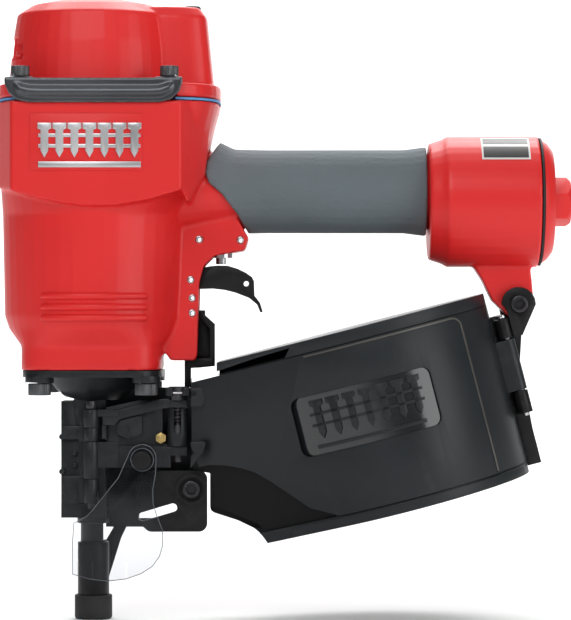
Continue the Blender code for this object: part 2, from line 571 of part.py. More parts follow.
def magazine_bracket():
    """Near plate of the nail track and its screw."""
    outline = [(-69.0, 47.0), (-66.0, 44.9), (-42.5, 44.9), (-39.8, 47.6), (-39.8, 72.0), (-43.4, 75.4),
               (-66.0, 75.4), (-69.0, 73.0)]
    plate = prism("magazine_bracket", outline, -17.0, -14.0)
    join(plate, box("tie", (-56.0, -14.5, 45.4), (-46.0, 7.7, 49.4)))
    screw_place = (-47.4, 66.8)
    cut(plate, rod("hole", screw_place, 2.7, -30.0, 0.0, "Y", sides=12))
    finish_piece(plate, "black_oxide")
    bolt = rod("bracket_bolt", screw_place, 4.4, -21.8, -17.3, "Y", sides=20)
    join(bolt, rod("shank", screw_place, 2.4, -18.0, -11.0, "Y", sides=12))
    cut(bolt, rod("socket", screw_place, 2.5, -25.0, -19.4, "Y", sides=6))
    finish_piece(bolt, "dark_steel")


# ---- canister --------------------------------------------------------------------------------
def in_canister(x, z):
    """The (u, w) place of a point seen from the side."""
    dx, dz = x - CANISTER[0], z - CANISTER[2]
    return (dx * math.cos(TILT) + dz * math.sin(TILT), dz * math.cos(TILT) - dx * math.sin(TILT))


def tadpole(radius, half):
    """Plan outline of the drum with its throat: an arc and two tangent lines."""
    reach = math.hypot(THROAT_U - DRUM_U, half)
    lean = math.acos(radius / reach) if reach > radius else 0.0
    start = math.pi - math.atan2(half, DRUM_U - THROAT_U) - lean
    steps = 30
    arc = [start - 2 * start * step / steps for step in range(steps + 1)]
    outline = [(DRUM_U + radius * math.cos(a), radius * math.sin(a)) for a in arc]
    return outline + [(THROAT_U, -half), (THROAT_U, half)]


def put_in_canister(piece, origin=(0.0, 0.0, 0.0)):
    """Move a piece from the canister's axes to its place, with its origin at (u, y, w)."""
    place = Vector(origin) * MM
    turn = Matrix.Rotation(-TILT, 4, "Y")
    piece.data.transform(Matrix.Translation(-place))
    piece.rotation_euler = (0.0, -TILT, 0.0)
    piece.location = Vector(CANISTER) * MM + turn @ place
    return piece


def seen_prism(name, world_outline, near, far):
    """A block whose outline is given from the side in the world's X and Z."""
    return prism(name, [in_canister(x, z) for x, z in world_outline], near, far)


def cover_outline(grow):
    """The cover seen from the side in (u, w): straight edges and a wavy lower front."""
    front = [in_canister(x - grow, z) for x, z in ((-47.2, 121.0), (-47.2, 86.0))]
    wave = [in_canister(x, z - grow) for x, z in ((-43.0, 78.0), (-30.0, 79.0), (-15.0, 76.5), (-7.7, 72.5),
                                                  (12.0, 60.0))]
    low = COVER_BOTTOM - grow
    high = COVER_TOP + grow
    return front + wave + [(-40.0, low), (80.0, low), (80.0, high), (in_canister(-47.2, 121.0)[0], high)]


def canister():
    """Fixed shell, hinged cover, nail platform on its post and the hinge pin."""
    shell = prism("canister_shell", tadpole(DRUM_RADIUS - 1.0, THROAT_HALF), SHELL_LOW, SHELL_HIGH, "Z")
    shape = seen_prism("shape", [(-34.4, 180.0), (140.0, 180.0), (140.0, 20.0), (-5.0, 20.0), (-9.0, 41.0),
                                 (-15.6, 47.9), (-36.0, 55.0), (-38.0, 58.0), (-38.0, 75.0), (-46.8, 76.0),
                                 (-46.8, 119.6), (-34.4, 122.8)], -90, 90)
    combine(shell, shape, "INTERSECT")
    inside = prism("inside", tadpole(DRUM_RADIUS - 1.0 - WALL, THROAT_HALF - WALL), SHELL_LOW + WALL,
                   SHELL_HIGH - WALL, "Z")
    inside_shape = seen_prism("inside_shape", [(-80.0, 180.0), (140.0, 180.0), (140.0, 20.0), (-3.0, 20.0),
                                               (-6.6, 42.6), (-14.0, 50.6), (-35.4, 58.0), (-80.0, 58.0)], -90, 90)
    combine(inside, inside_shape, "INTERSECT")
    cut(shell, inside, prism("window", cover_outline(0.35), -90.0, PARTING_Y))
    finish_piece(put_in_canister(shell), "black_plastic")

    cover = prism("canister_cover", tadpole(DRUM_RADIUS, THROAT_HALF + 1.0), COVER_BOTTOM, COVER_TOP, "Z")
    combine(cover, prism("cover_shape", cover_outline(0.0), -90.0, PARTING_Y - 0.4), "INTERSECT")
    cut(cover, prism("cover_inside", tadpole(DRUM_RADIUS - WALL, THROAT_HALF + 1.0 - WALL), -60.0, 60.0, "Z"))
    u, y = COVER_HINGE
    join(cover, rod("knuckle", COVER_HINGE, 3.8, -3.0, 23.0, sides=16),
         box("strap", (56.5, y - 3.7, -3.0), (u, y + 1.8, 23.0)),
         seen_prism("upper_hook", [(-48.0, 109.0), (-45.0, 109.0), (-45.0, 117.0), (-48.0, 117.0)], -24.0, -18.0),
         seen_prism("lower_hook", [(-48.0, 88.0), (-45.0, 88.0), (-45.0, 95.0), (-48.0, 95.0)], -24.0, -18.0))
    cut(cover, rod("pin_bore", COVER_HINGE, 1.9, -60.0, 60.0, sides=12))
    finish_piece(put_in_canister(cover, (u, y, 0.0)), "black_plastic")

    pin = rod("cover_hinge_pin", COVER_HINGE, 1.7, -16.5, 35.4, sides=12)
    join(pin, rod("head", COVER_HINGE, 2.6, 34.3, 36.0, sides=16))
    finish_piece(put_in_canister(pin), "bright_steel")
    post = rod("platform_post", (DRUM_U, 0), 5.0, SHELL_LOW + WALL + GAP, SHELL_HIGH - WALL - GAP, sides=16)
    finish_piece(put_in_canister(post), "black_plastic")
    platform = turned("nail_platform", (DRUM_U, 0, 0), [(5.4, -30.0), (56.0, -30.0), (56.0, -27.6),
                                                       (9.0, -27.6), (9.0, -18.0), (5.4, -18.0)], sides=32)
    finish_piece(put_in_canister(platform, (DRUM_U, 0.0, -30.0)), "black_plastic")


def magazine_arm():
    """Strip along the shell's rear end, hinge knuckles and a fork round the rear leg."""
    ear = in_canister(*ARM_PIVOT)
    bend = [(ear[0] + 8.7 * math.cos(math.radians(a)), ear[1] + 8.7 * math.sin(math.radians(a)))
            for a in range(-15, 166, 20)]
    outline = [(59.4, -42.0), (66.4, -42.0), (66.4, -24.0), (68.5, 10.0), (73.0, 24.0), *bend,
               (65.6, 36.0), (59.4, 36.0)]
    arm = prism("magazine_arm", outline, 0.8, 13.0)
    near_ear = prism("near_ear", [(68.0, 23.6), (72.5, 23.6), *bend, (68.0, 37.8)], -11.0, 3.0)
    join(arm, near_ear)
    for low, high in ((24.0, 34.0), (-15.0, -3.7)):
        join(arm, rod("knuckle", COVER_HINGE, 3.8, low, high, sides=16),
             box("block", (60.6, COVER_HINGE[1], low), (66.0, 2.0, high)))
    cut(arm, box("leg_slot", (65.3, -LEG_HALF - 0.4, 30.4), (100.0, LEG_HALF + 0.4, 70.0)),
        rod("pin_bore", COVER_HINGE, 1.9, -60.0, 60.0, sides=12),
        rod("bolt_hole", ear, 3.3, -20.0, 20.0, "Y", sides=16))
    finish_piece(put_in_canister(arm), "black_oxide")
    bolt = rod("arm_bolt", ARM_PIVOT, 4.4, -15.4, -11.3, "Y", sides=20)
    join(bolt, rod("shank", ARM_PIVOT, 3.0, -12.0, 13.2, "Y", sides=12))
    cut(bolt, rod("socket", ARM_PIVOT, 2.5, -20.0, -13.2, "Y", sides=6))
    finish_piece(bolt, "dark_steel")


def build():
    for old in list(bpy.data.objects):
        bpy.data.objects.remove(old)
    main_housing()
    cap_gasket()
    top_cap()
    cap_screws()
    wear_guards()
    rear_end()
    handle_grip()
    badge()
    drive_parts()
    trigger_group()
    nose_body()
    door_group()
    feed_group()
    contact_group()
    magazine_bracket()
    canister()
    magazine_arm()


build()
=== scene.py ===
import json
import math
import bpy
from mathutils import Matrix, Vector


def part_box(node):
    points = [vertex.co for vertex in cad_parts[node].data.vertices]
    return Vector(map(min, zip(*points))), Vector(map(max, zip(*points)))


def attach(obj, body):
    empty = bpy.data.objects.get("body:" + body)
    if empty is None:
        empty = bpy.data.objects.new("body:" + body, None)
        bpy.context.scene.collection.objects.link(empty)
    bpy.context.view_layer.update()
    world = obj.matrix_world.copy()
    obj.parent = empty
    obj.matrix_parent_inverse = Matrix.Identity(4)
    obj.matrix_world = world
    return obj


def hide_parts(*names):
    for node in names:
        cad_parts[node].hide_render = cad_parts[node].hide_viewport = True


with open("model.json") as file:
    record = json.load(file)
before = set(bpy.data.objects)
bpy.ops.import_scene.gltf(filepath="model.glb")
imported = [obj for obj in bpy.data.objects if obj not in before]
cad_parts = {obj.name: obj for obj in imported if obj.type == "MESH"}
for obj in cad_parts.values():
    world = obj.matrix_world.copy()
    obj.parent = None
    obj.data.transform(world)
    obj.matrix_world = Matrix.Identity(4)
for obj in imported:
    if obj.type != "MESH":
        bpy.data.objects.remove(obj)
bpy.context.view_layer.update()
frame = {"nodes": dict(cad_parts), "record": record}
nodes = frame["nodes"]
mm = 0.001
print("frame loaded:", len(nodes), "nodes")


# small helpers for shader trees
def addNode(tree, kind, **values):
    node = tree.nodes.new(kind)
    for key, value in values.items():
        setattr(node, key, value)
    return node


def setInputs(node, **values):
    for key, value in values.items():
        node.inputs[key.replace("_", " ")].default_value = value
    return node


def newGroup(name, inputs, outputs):
    group = bpy.data.node_groups.new(name, "ShaderNodeTree")
    for label, kind, value in inputs:
        socket = group.interface.new_socket(label, in_out="INPUT", socket_type=kind)
        if value is not None:
            socket.default_value = value
    for label, kind in outputs:
        group.interface.new_socket(label, in_out="OUTPUT", socket_type=kind)
    start = addNode(group, "NodeGroupInput")
    end = addNode(group, "NodeGroupOutput")
    return group, start, end


def mapRange(tree, source, low, high, toLow=0.0, toHigh=1.0):
    node = addNode(tree, "ShaderNodeMapRange")
    node.inputs["From Min"].default_value = low
    node.inputs["From Max"].default_value = high
    node.inputs["To Min"].default_value = toLow
    node.inputs["To Max"].default_value = toHigh
    tree.links.new(source, node.inputs["Value"])
    return node.outputs["Result"]


# fine surface grain: one height and one slow blotch mask
def makeGrainGroup():
    group, start, end = newGroup("surfaceGrain",
                                 [("Scale", "NodeSocketFloat", 900.0),
                                  ("Stretch", "NodeSocketVector", (1, 1, 1))],
                                 [("Height", "NodeSocketFloat"), ("Blotch", "NodeSocketFloat")])
    place = addNode(group, "ShaderNodeTexCoord")
    stretch = addNode(group, "ShaderNodeVectorMath", operation="MULTIPLY")
    fine = setInputs(addNode(group, "ShaderNodeTexNoise"), Detail=4.0, Roughness=0.55)
    slow = setInputs(addNode(group, "ShaderNodeTexNoise"), Scale=14.0, Detail=3.0)
    group.links.new(place.outputs["Object"], stretch.inputs[0])
    group.links.new(start.outputs["Stretch"], stretch.inputs[1])
    group.links.new(stretch.outputs[0], fine.inputs["Vector"])
    group.links.new(start.outputs["Scale"], fine.inputs["Scale"])
    group.links.new(place.outputs["Object"], slow.inputs["Vector"])
    group.links.new(fine.outputs["Fac"], end.inputs["Height"])
    group.links.new(slow.outputs["Fac"], end.inputs["Blotch"])
    return group


# worn mask on raised edges, broken up by noise
def makeWearGroup():
    group, start, end = newGroup("edgeWear",
                                 [("Amount", "NodeSocketFloat", 0.5), ("Breakup", "NodeSocketFloat", 220.0)],
                                 [("Worn", "NodeSocketFloat")])
    shape = addNode(group, "ShaderNodeNewGeometry")
    place = addNode(group, "ShaderNodeTexCoord")
    noise = setInputs(addNode(group, "ShaderNodeTexNoise"), Detail=5.0, Roughness=0.65)
    group.links.new(place.outputs["Object"], noise.inputs["Vector"])
    group.links.new(start.outputs["Breakup"], noise.inputs["Scale"])
    edge = mapRange(group, shape.outputs["Pointiness"], 0.515, 0.60)
    patch = mapRange(group, noise.outputs["Fac"], 0.42, 0.62)
    worn = addNode(group, "ShaderNodeMath", operation="MULTIPLY", use_clamp=True)
    scaled = addNode(group, "ShaderNodeMath", operation="MULTIPLY", use_clamp=True)
    group.links.new(edge, worn.inputs[0])
    group.links.new(patch, worn.inputs[1])
    group.links.new(worn.outputs[0], scaled.inputs[0])
    group.links.new(start.outputs["Amount"], scaled.inputs[1])
    group.links.new(scaled.outputs[0], end.inputs["Worn"])
    return group


grainGroup = makeGrainGroup()
wearGroup = makeWearGroup()


# one finish: base colour with blotches, worn edges and a grain bump
def makeFinish(name, colour, roughness, metallic=0.0, grain=900.0, bump=0.1, depth=0.00005, blotch=0.12,
               worn=None, wear=0.0, stretch=(1, 1, 1), coat=0.0, roughSpread=0.08, shine=0.5):
    material = bpy.data.materials.new(name)
    material.use_nodes = True
    tree = material.node_tree
    shader = tree.nodes["Principled BSDF"]
    shader.inputs["Metallic"].default_value = metallic
    shader.inputs["Coat Weight"].default_value = coat
    shader.inputs["Specular IOR Level"].default_value = shine
    shader.inputs["Coat Roughness"].default_value = 0.12
    grains = addNode(tree, "ShaderNodeGroup", node_tree=grainGroup, label="grain")
    grains.inputs["Scale"].default_value = grain
    grains.inputs["Stretch"].default_value = stretch
    darker = [channel * (1.0 - blotch) for channel in colour]
    lighter = [min(1.0, channel * (1.0 + blotch)) for channel in colour]
    tone = addNode(tree, "ShaderNodeMix", data_type="RGBA")
    tone.inputs["A"].default_value = (*darker, 1)
    tone.inputs["B"].default_value = (*lighter, 1)
    tree.links.new(mapRange(tree, grains.outputs["Blotch"], 0.35, 0.65), tone.inputs["Factor"])
    base = tone.outputs["Result"]
    rough = mapRange(tree, grains.outputs["Blotch"], 0.3, 0.7,
                     roughness - roughSpread, roughness + roughSpread)
    if wear > 0:
        edges = addNode(tree, "ShaderNodeGroup", node_tree=wearGroup, label="edge wear")
        edges.inputs["Amount"].default_value = wear
        mix = addNode(tree, "ShaderNodeMix", data_type="RGBA")
        mix.inputs["B"].default_value = (*worn, 1)
        tree.links.new(edges.outputs["Worn"], mix.inputs["Factor"])
        tree.links.new(base, mix.inputs["A"])
        base = mix.outputs["Result"]
    bumpNode = setInputs(addNode(tree, "ShaderNodeBump"), Strength=bump, Distance=depth)
    tree.links.new(grains.outputs["Height"], bumpNode.inputs["Height"])
    tree.links.new(bumpNode.outputs["Normal"], shader.inputs["Normal"])
    tree.links.new(base, shader.inputs["Base Color"])
    tree.links.new(rough, shader.inputs["Roughness"])
    return material


# finishes by the piece's use, colours in linear light
finishes = {
    "redCoat": dict(colour=(0.76, 0.020, 0.020), roughness=0.42, grain=1400, bump=0.35, depth=0.00008,
                    blotch=0.05, coat=0.08, roughSpread=0.05, shine=0.38),
    "gripRubber": dict(colour=(0.125, 0.155, 0.170), roughness=0.72, grain=420, bump=0.9, depth=0.0005,
                       blotch=0.14, stretch=(0.6, 1.0, 1.3), worn=(0.30, 0.34, 0.36), wear=0.25),
    "blackPlastic": dict(colour=(0.015, 0.0185, 0.0215), roughness=0.42, grain=2100, bump=0.35, depth=0.00006,
                         blotch=0.12, worn=(0.07, 0.075, 0.08), wear=0.15, shine=0.32),
    "glossPlastic": dict(colour=(0.012, 0.014, 0.017), roughness=0.20, grain=300, bump=0.05, depth=0.00003,
                         blotch=0.05, coat=0.5),
    "oxideSteel": dict(colour=(0.010, 0.010, 0.011), roughness=0.40, metallic=0.2, grain=1500, bump=0.35,
                       depth=0.00008, blotch=0.08, worn=(0.10, 0.10, 0.11), wear=0.08, roughSpread=0.03,
                       shine=0.3),
    "phosphateSteel": dict(colour=(0.038, 0.038, 0.042), roughness=0.36, metallic=0.7, grain=1500, bump=0.2,
                           depth=0.00006, blotch=0.1, worn=(0.30, 0.30, 0.31), wear=0.4, roughSpread=0.04),
    "guardSteel": dict(colour=(0.075, 0.079, 0.086), roughness=0.30, metallic=0.85, grain=700, bump=0.4,
                       depth=0.0001, blotch=0.2, worn=(0.42, 0.42, 0.44), wear=0.5, stretch=(0.25, 1, 1)),
    "screwSteel": dict(colour=(0.11, 0.115, 0.12), roughness=0.38, metallic=0.7, grain=1500, bump=0.2,
                       depth=0.00006, blotch=0.1, shine=0.4),
    "brightSteel": dict(colour=(0.62, 0.62, 0.64), roughness=0.24, metallic=1.0, grain=900, bump=0.1,
                        blotch=0.1),
    "gasketBlue": dict(colour=(0.12, 0.33, 0.64), roughness=0.65, grain=1800, bump=0.5, blotch=0.15),
    "machinedAluminium": dict(colour=(0.55, 0.56, 0.58), roughness=0.32, metallic=1.0, grain=900, bump=0.2,
                              blotch=0.08, stretch=(1, 1, 8)),
    "blackRubber": dict(colour=(0.02, 0.02, 0.021), roughness=0.7, grain=900, bump=0.4, depth=0.0001,
                        blotch=0.2),
    "badgeSilver": dict(colour=(0.55, 0.55, 0.56), roughness=0.3, metallic=0.9, grain=260, bump=0.35,
                        depth=0.00008, blotch=0.28, roughSpread=0.12),
    "castBlack": dict(colour=(0.017, 0.019, 0.022), roughness=0.38, metallic=0.3, grain=1300, bump=0.45,
                      depth=0.00009, blotch=0.08, worn=(0.14, 0.14, 0.15), wear=0.15, roughSpread=0.03,
                      shine=0.35),
    # near-black plastic for the drum's set-back front wall: painted shade standing for the shadow under the
    # cover's edge
    "paintedShadePlastic": dict(colour=(0.0055, 0.0055, 0.006), roughness=0.5, grain=2100, bump=0.3, depth=0.00006,
                        blotch=0.1, shine=0.2),
    # lighter plastic for the bead along the cover panel's edge: partly wear, partly a painted highlight where
    # the edge catches the light
    "wornAndHighlightPlastic": dict(colour=(0.085, 0.08, 0.07), roughness=0.36, grain=900, bump=0.3, blotch=0.3),
    "stickerWhite": dict(colour=(0.72, 0.72, 0.70), roughness=0.45, grain=900, bump=0.05, blotch=0.03),
    "stickerBlack": dict(colour=(0.018, 0.018, 0.018), roughness=0.4, grain=900, bump=0.05, blotch=0.05),
    # pale grey for the shield's rim: painted highlight along the clear sheet's edges
    "paintedEdgeHighlight": dict(colour=(0.20, 0.215, 0.23), roughness=0.12, grain=300, bump=0.1, blotch=0.2),
    "brassNut": dict(colour=(0.45, 0.33, 0.13), roughness=0.35, metallic=1.0, grain=900, bump=0.2,
                     blotch=0.2),
}
finish = {name: makeFinish(name, **values) for name, values in finishes.items()}


# clear flexible sheet with a faint haze of fine scratches
def makeClearSheet():
    material = bpy.data.materials.new("clearSheet")
    material.use_nodes = True
    tree = material.node_tree
    shader = tree.nodes["Principled BSDF"]
    setInputs(shader, Base_Color=(0.80, 0.825, 0.85, 1), Metallic=0.0, IOR=1.22, Transmission_Weight=1.0)
    grains = addNode(tree, "ShaderNodeGroup", node_tree=grainGroup, label="haze")
    grains.inputs["Scale"].default_value = 120.0
    tree.links.new(mapRange(tree, grains.outputs["Height"], 0.3, 0.7, 0.0, 0.05), shader.inputs["Roughness"])
    bumpNode = setInputs(addNode(tree, "ShaderNodeBump"), Strength=0.15, Distance=0.0006)
    tree.links.new(grains.outputs["Blotch"], bumpNode.inputs["Height"])
    tree.links.new(bumpNode.outputs["Normal"], shader.inputs["Normal"])
    return material


finish["clearSheet"] = makeClearSheet()
print("finishes made:", len(finish))


# modelling helpers
def deselectAll():
    if bpy.context.object and bpy.context.object.mode != "OBJECT":
        bpy.ops.object.mode_set(mode="OBJECT")
    bpy.ops.object.select_all(action="DESELECT")


def makeActive(piece):
    deselectAll()
    piece.select_set(True)
    bpy.context.view_layer.objects.active = piece


def settle(piece):
    makeActive(piece)
    bpy.ops.object.transform_apply(location=True, rotation=True, scale=True)
    return piece


def applyModifiers(piece):
    makeActive(piece)
    for modifier in list(piece.modifiers):
        bpy.ops.object.modifier_apply(modifier=modifier.name)
    return piece


def smoothByAngle(piece, degrees):
    makeActive(piece)
    bpy.ops.object.shade_smooth_by_angle(angle=math.radians(degrees))
    return piece


def faceOutwards(piece):
    makeActive(piece)
    bpy.ops.object.mode_set(mode="EDIT")
    bpy.ops.mesh.select_all(action="SELECT")
    bpy.ops.mesh.normals_make_consistent(inside=False)
    bpy.ops.object.mode_set(mode="OBJECT")
    return piece


# edges across a piece, square to one axis
def sliceAlong(piece, axis, places):
    for place in places:
        makeActive(piece)
        bpy.ops.object.mode_set(mode="EDIT")
        bpy.ops.mesh.select_all(action="SELECT")
        bpy.ops.mesh.bisect(plane_co=[place * mm * part for part in axis], plane_no=axis)
        bpy.ops.object.mode_set(mode="OBJECT")


def addBlock(low, high, name="block"):
    deselectAll()
    centre = [(a + b) / 2 * mm for a, b in zip(low, high)]
    bpy.ops.mesh.primitive_cube_add(size=1, location=centre)
    piece = bpy.context.object
    piece.name = name
    piece.scale = [(b - a) * mm for a, b in zip(low, high)]
    return settle(piece)


def addRod(start, end, radius, sides=32, name="rod", radiusEnd=None):
    deselectAll()
    a, b = Vector(start) * mm, Vector(end) * mm
    along = b - a
    turn = Vector((0, 0, 1)).rotation_difference(along)
    bpy.ops.mesh.primitive_cone_add(vertices=sides, radius1=radius * mm, depth=along.length,
                                    radius2=(radius if radiusEnd is None else radiusEnd) * mm,
                                    location=(a + b) / 2, rotation=turn.to_euler())
    piece = bpy.context.object
    piece.name = name
    return settle(piece)


def addBall(place, radius, segments, rings):
    deselectAll()
    bpy.ops.mesh.primitive_uv_sphere_add(segments=segments, ring_count=rings, radius=radius * mm,
                                         location=place)
    return settle(bpy.context.object)


# flat outline seen from the side, given as X and Z, pulled along Y
def addPlate(outline, near, far, name="plate"):
    deselectAll()
    bpy.ops.mesh.primitive_circle_add(vertices=len(outline), radius=1, fill_type="NGON")
    piece = bpy.context.object
    piece.name = name
    for vertex, (x, z) in zip(piece.data.vertices, outline):
        vertex.co = Vector((x, near, z)) * mm
    makeActive(piece)
    bpy.ops.object.mode_set(mode="EDIT")
    bpy.ops.mesh.select_all(action="SELECT")
    bpy.ops.mesh.extrude_region_move(TRANSFORM_OT_translate={"value": (0, (far - near) * mm, 0)})
    return faceOutwards(piece)


# flat outline seen from above, given as X and Y, pulled up along Z
def addSlab(outline, low, high, name="slab"):
    slab = addPlate(outline, 0, 1, name)
    for vertex in slab.data.vertices:
        x, side, y = vertex.co
        vertex.co = Vector((x, y, (low if side < mm / 2 else high) * mm))
    return faceOutwards(slab)


# outline with rounded corners, from its corner points and one radius
def roundedOutline(corners, radius, steps=6):
    points = []
    for index, corner in enumerate(corners):
        here = Vector(corner)
        back = (Vector(corners[index - 1]) - here).normalized()
        ahead = (Vector(corners[(index + 1) % len(corners)]) - here).normalized()
        half = back.angle(ahead) / 2
        centre = here + (back + ahead).normalized() * radius / math.sin(half)
        first, last = here + back * radius / math.tan(half), here + ahead * radius / math.tan(half)
        a = math.atan2(*(first - centre).yx)
        turn = math.remainder(math.atan2(*(last - centre).yx) - a, 2 * math.pi)
        for step in range(steps + 1):
            angle = a + turn * step / steps
            points.append((centre.x + radius * math.cos(angle), centre.y + radius * math.sin(angle)))
    return points


def joinAll(pieces, name):
    deselectAll()
    for piece in pieces:
        piece.select_set(True)
    bpy.context.view_layer.objects.active = pieces[0]
    bpy.ops.object.join()
    pieces[0].name = name
    return pieces[0]


def boolean(piece, other, operation="DIFFERENCE"):
    modifier = piece.modifiers.new("fit", "BOOLEAN")
    modifier.operation = operation
    modifier.object = other
    applyModifiers(piece)
    bpy.data.objects.remove(other)
    return piece


# a merged copy of a CAD node as a new piece
def copyNode(nodeName, pieceName):
    piece = bpy.data.objects.new(pieceName, nodes[nodeName].data.copy())
    bpy.context.scene.collection.objects.link(piece)
    makeActive(piece)
    piece.data.materials.clear()
    bpy.ops.object.mode_set(mode="EDIT")
    bpy.ops.mesh.select_all(action="SELECT")
    bpy.ops.mesh.remove_doubles(threshold=0.000004)
    bpy.ops.object.mode_set(mode="OBJECT")
    if piece.data.has_custom_normals:
        bpy.ops.mesh.customdata_custom_splitnormals_clear()
    return piece


def roundEdges(piece, width, angle=28, segments=2):
    makeActive(piece)
    bpy.ops.object.mode_set(mode="EDIT")
    bpy.ops.mesh.select_all(action="SELECT")
    bpy.ops.mesh.dissolve_limited(angle_limit=math.radians(0.6))
    bpy.ops.object.mode_set(mode="OBJECT")
    bevel = piece.modifiers.new("edges", "BEVEL")
    bevel.width = width * mm
    bevel.segments = segments
    bevel.limit_method = "ANGLE"
    bevel.angle_limit = math.radians(angle)
    bevel.use_clamp_overlap = True
    bevel.miter_outer = "MITER_ARC"
    applyModifiers(piece)
    bpy.ops.object.shade_smooth_by_angle(angle=math.radians(35))
    return piece


def addSkin(piece, voxel):
    remesh = piece.modifiers.new("skin", "REMESH")
    remesh.mode = "VOXEL"
    remesh.voxel_size = voxel * mm


def addRelax(piece, passes):
    relax = piece.modifiers.new("relax", "SMOOTH")
    relax.factor = 0.5
    relax.iterations = passes


# cast look: skin the pieces with an even mesh and relax it so every corner gets a fillet
def castSkin(piece, voxel, passes):
    addSkin(piece, voxel)
    addRelax(piece, passes)
    applyModifiers(piece)
    bpy.ops.object.shade_smooth()
    return piece


def dress(piece, material, body, *replaced, slot=None):
    piece.data.materials.clear()
    piece.data.materials.append(finish[material])
    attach(piece, body)
    if replaced:
        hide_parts(*replaced)
    return piece


# red casting: the CAD shape with its hollows filled, skinned with fillets
housing = dict(voxel=1.0, passes=4, driveX=-97.9, handleZ=217.4, rearZ=212.2, panelTop=260.7, panelLow=198.0,
               topPlan=((-135.6, -50.0), (-51.6, -50.0), (-36.4, -21.0), (-36.4, 21.0), (-51.6, 50.0),
                        (-135.6, 50.0), (-143.0, 30.0), (-143.0, -30.0)),
               lowPlan=((-135.6, -50.0), (-51.6, -50.0), (-43.5, -30.0), (-43.5, 30.0), (-51.6, 50.0),
                        (-135.6, 50.0), (-143.0, 30.0), (-143.0, -30.0)),
               panelBottom=((-150, 219.5), (-136, 216.0), (-128, 213.8), (-112, 210.2), (-98, 208.4),
                            (-82, 209.0), (-66, 211.8), (-56, 215.0), (-51.4, 216.4), (-48.5, 209.5),
                            (-41, 224), (-33, 239), (-30, 245)))


# slab whose top follows another plan with as many corners
def addTapered(lowPlan, topPlan, low, high, name="taper"):
    block = addSlab(lowPlan, low, high, name)
    for vertex in block.data.vertices:
        if vertex.co.z > (low + high) / 2 * mm:
            nearest = min(zip(topPlan, lowPlan),
                          key=lambda pair: (Vector(pair[1]) * mm - vertex.co.xy).length)
            x, y = nearest[0]
            vertex.co.x, vertex.co.y = x * mm, y * mm
    return block


def makeHousing():
    shell = copyNode("main_housing", "housing_casting")
    x, z, rear = housing["driveX"], housing["handleZ"], housing["rearZ"]
    fillers = [addRod((x, 0, 127.2), (x, 0, 260.9), 33), addRod((x, 0, 152), (x, 0, 260.9), 40),
               addRod((-80, 0, z), (127, 0, z), 13), addRod((88, 0, rear), (128.3, 0, rear), 25.5)]
    panel = addTapered(housing["lowPlan"], housing["topPlan"], housing["panelLow"], housing["panelTop"])
    boolean(panel, addPlate([*housing["panelBottom"], (-30, 190), (-150, 190)], -60, 60))
    shell = joinAll([shell, *fillers, panel], "housing_casting")
    castSkin(shell, housing["voxel"], housing["passes"])
    dress(shell, "redCoat", "tool_body", "main_housing", slot="red_coat")


# three raised grip ribs across the lower front of the barrel, on both sides
ribs = dict(radius=45.2, tube=1.75, heights=(164.0, 158.6, 153.2), fromAngle=-29.5, toAngle=38.0, steps=26,
            voxel=0.45)


def makeRibs():
    centre = Vector((housing["driveX"], 0, 0)) * mm
    for side, facing, sign in (("near", -90, 1), ("far", 90, -1)):
        pieces = []
        for height in ribs["heights"]:
            angles = [facing + sign * ribs["fromAngle"], facing + sign * ribs["toAngle"]]
            ends = [centre + Vector((math.cos(math.radians(a)), math.sin(math.radians(a)), 0)) *
                    ribs["radius"] * mm + Vector((0, 0, height * mm)) for a in angles]
            deselectAll()
            turn = math.radians(angles[0])
            bpy.ops.mesh.primitive_circle_add(vertices=14, radius=ribs["tube"] * mm, fill_type="NGON",
                                              location=ends[0], rotation=(math.pi / 2, 0, turn))
            rib = settle(bpy.context.object)
            makeActive(rib)
            bpy.ops.object.mode_set(mode="EDIT")
            bpy.ops.mesh.select_all(action="SELECT")
            bpy.ops.mesh.spin(steps=ribs["steps"], angle=math.radians(angles[0] - angles[1]),
                              center=(centre.x, 0, height * mm), axis=(0, 0, 1))
            pieces.append(faceOutwards(rib))
            for end in ends:
                pieces.append(addBall(end, ribs["tube"], 14, 10))
        rib = joinAll(pieces, f"housing_ribs_{side}")
        addSkin(rib, ribs["voxel"])
        applyModifiers(rib)
        bpy.ops.object.shade_smooth()
        dress(rib, "redCoat", "tool_body", slot="red_coat")


# red lid: dome, rear block and flange, with a valley between them and exhaust slots at the front
cap = dict(voxel=0.85, passes=4, valley=3.4, seat=7.4,
           slots=(284.6, 289.0), slotHalf=1.6, slotFrom=9, slotTo=27,
           slotRib=((-119, 283.5), (-138.4, 283.5), (-137.2, 296), (-119, 296)))
screws = dict(capX=(-131.2, -57.5), capY=45.0, capHead=5.2, boltX=(-123.2, -69.8), boltY=27, boltZ=120.3)


def makeCap():
    lid = copyNode("top_cap", "cap_casting")
    fillers = [addRod((-97.9, 0, 263.0), (-97.9, 0, 299), 36.5), addPlate(cap["slotRib"], -8, 8)]
    lid = joinAll([lid, *fillers], "cap_casting")
    addSkin(lid, cap["voxel"])
    applyModifiers(lid)
    for side in (-1, 1):
        # upright valley between the barrel and the rear block
        boolean(lid, addRod((-65.4, side * 43.2, 271), (-66.4, side * 36.6, 308), cap["valley"], 24))
        for x in screws["capX"]:
            y = side * screws["capY"]
            boolean(lid, addRod((x, y, 270.3), (x, y, 281.5), cap["seat"], 28))
    for side in (-1, 1):
        near, far = sorted((side * cap["slotFrom"], side * cap["slotTo"]))
        for height in cap["slots"]:
            low, high = height - cap["slotHalf"], height + cap["slotHalf"]
            boolean(lid, addBlock((-150, near, low), (-131.5, far, high)))
    addRelax(lid, cap["passes"])
    applyModifiers(lid)
    smoothByAngle(lid, 50)
    dress(lid, "redCoat", "tool_body", "top_cap", slot="red_coat")


# rubber sleeve with a rolled rim at both ends
grip = dict(voxel=0.9, passes=4)


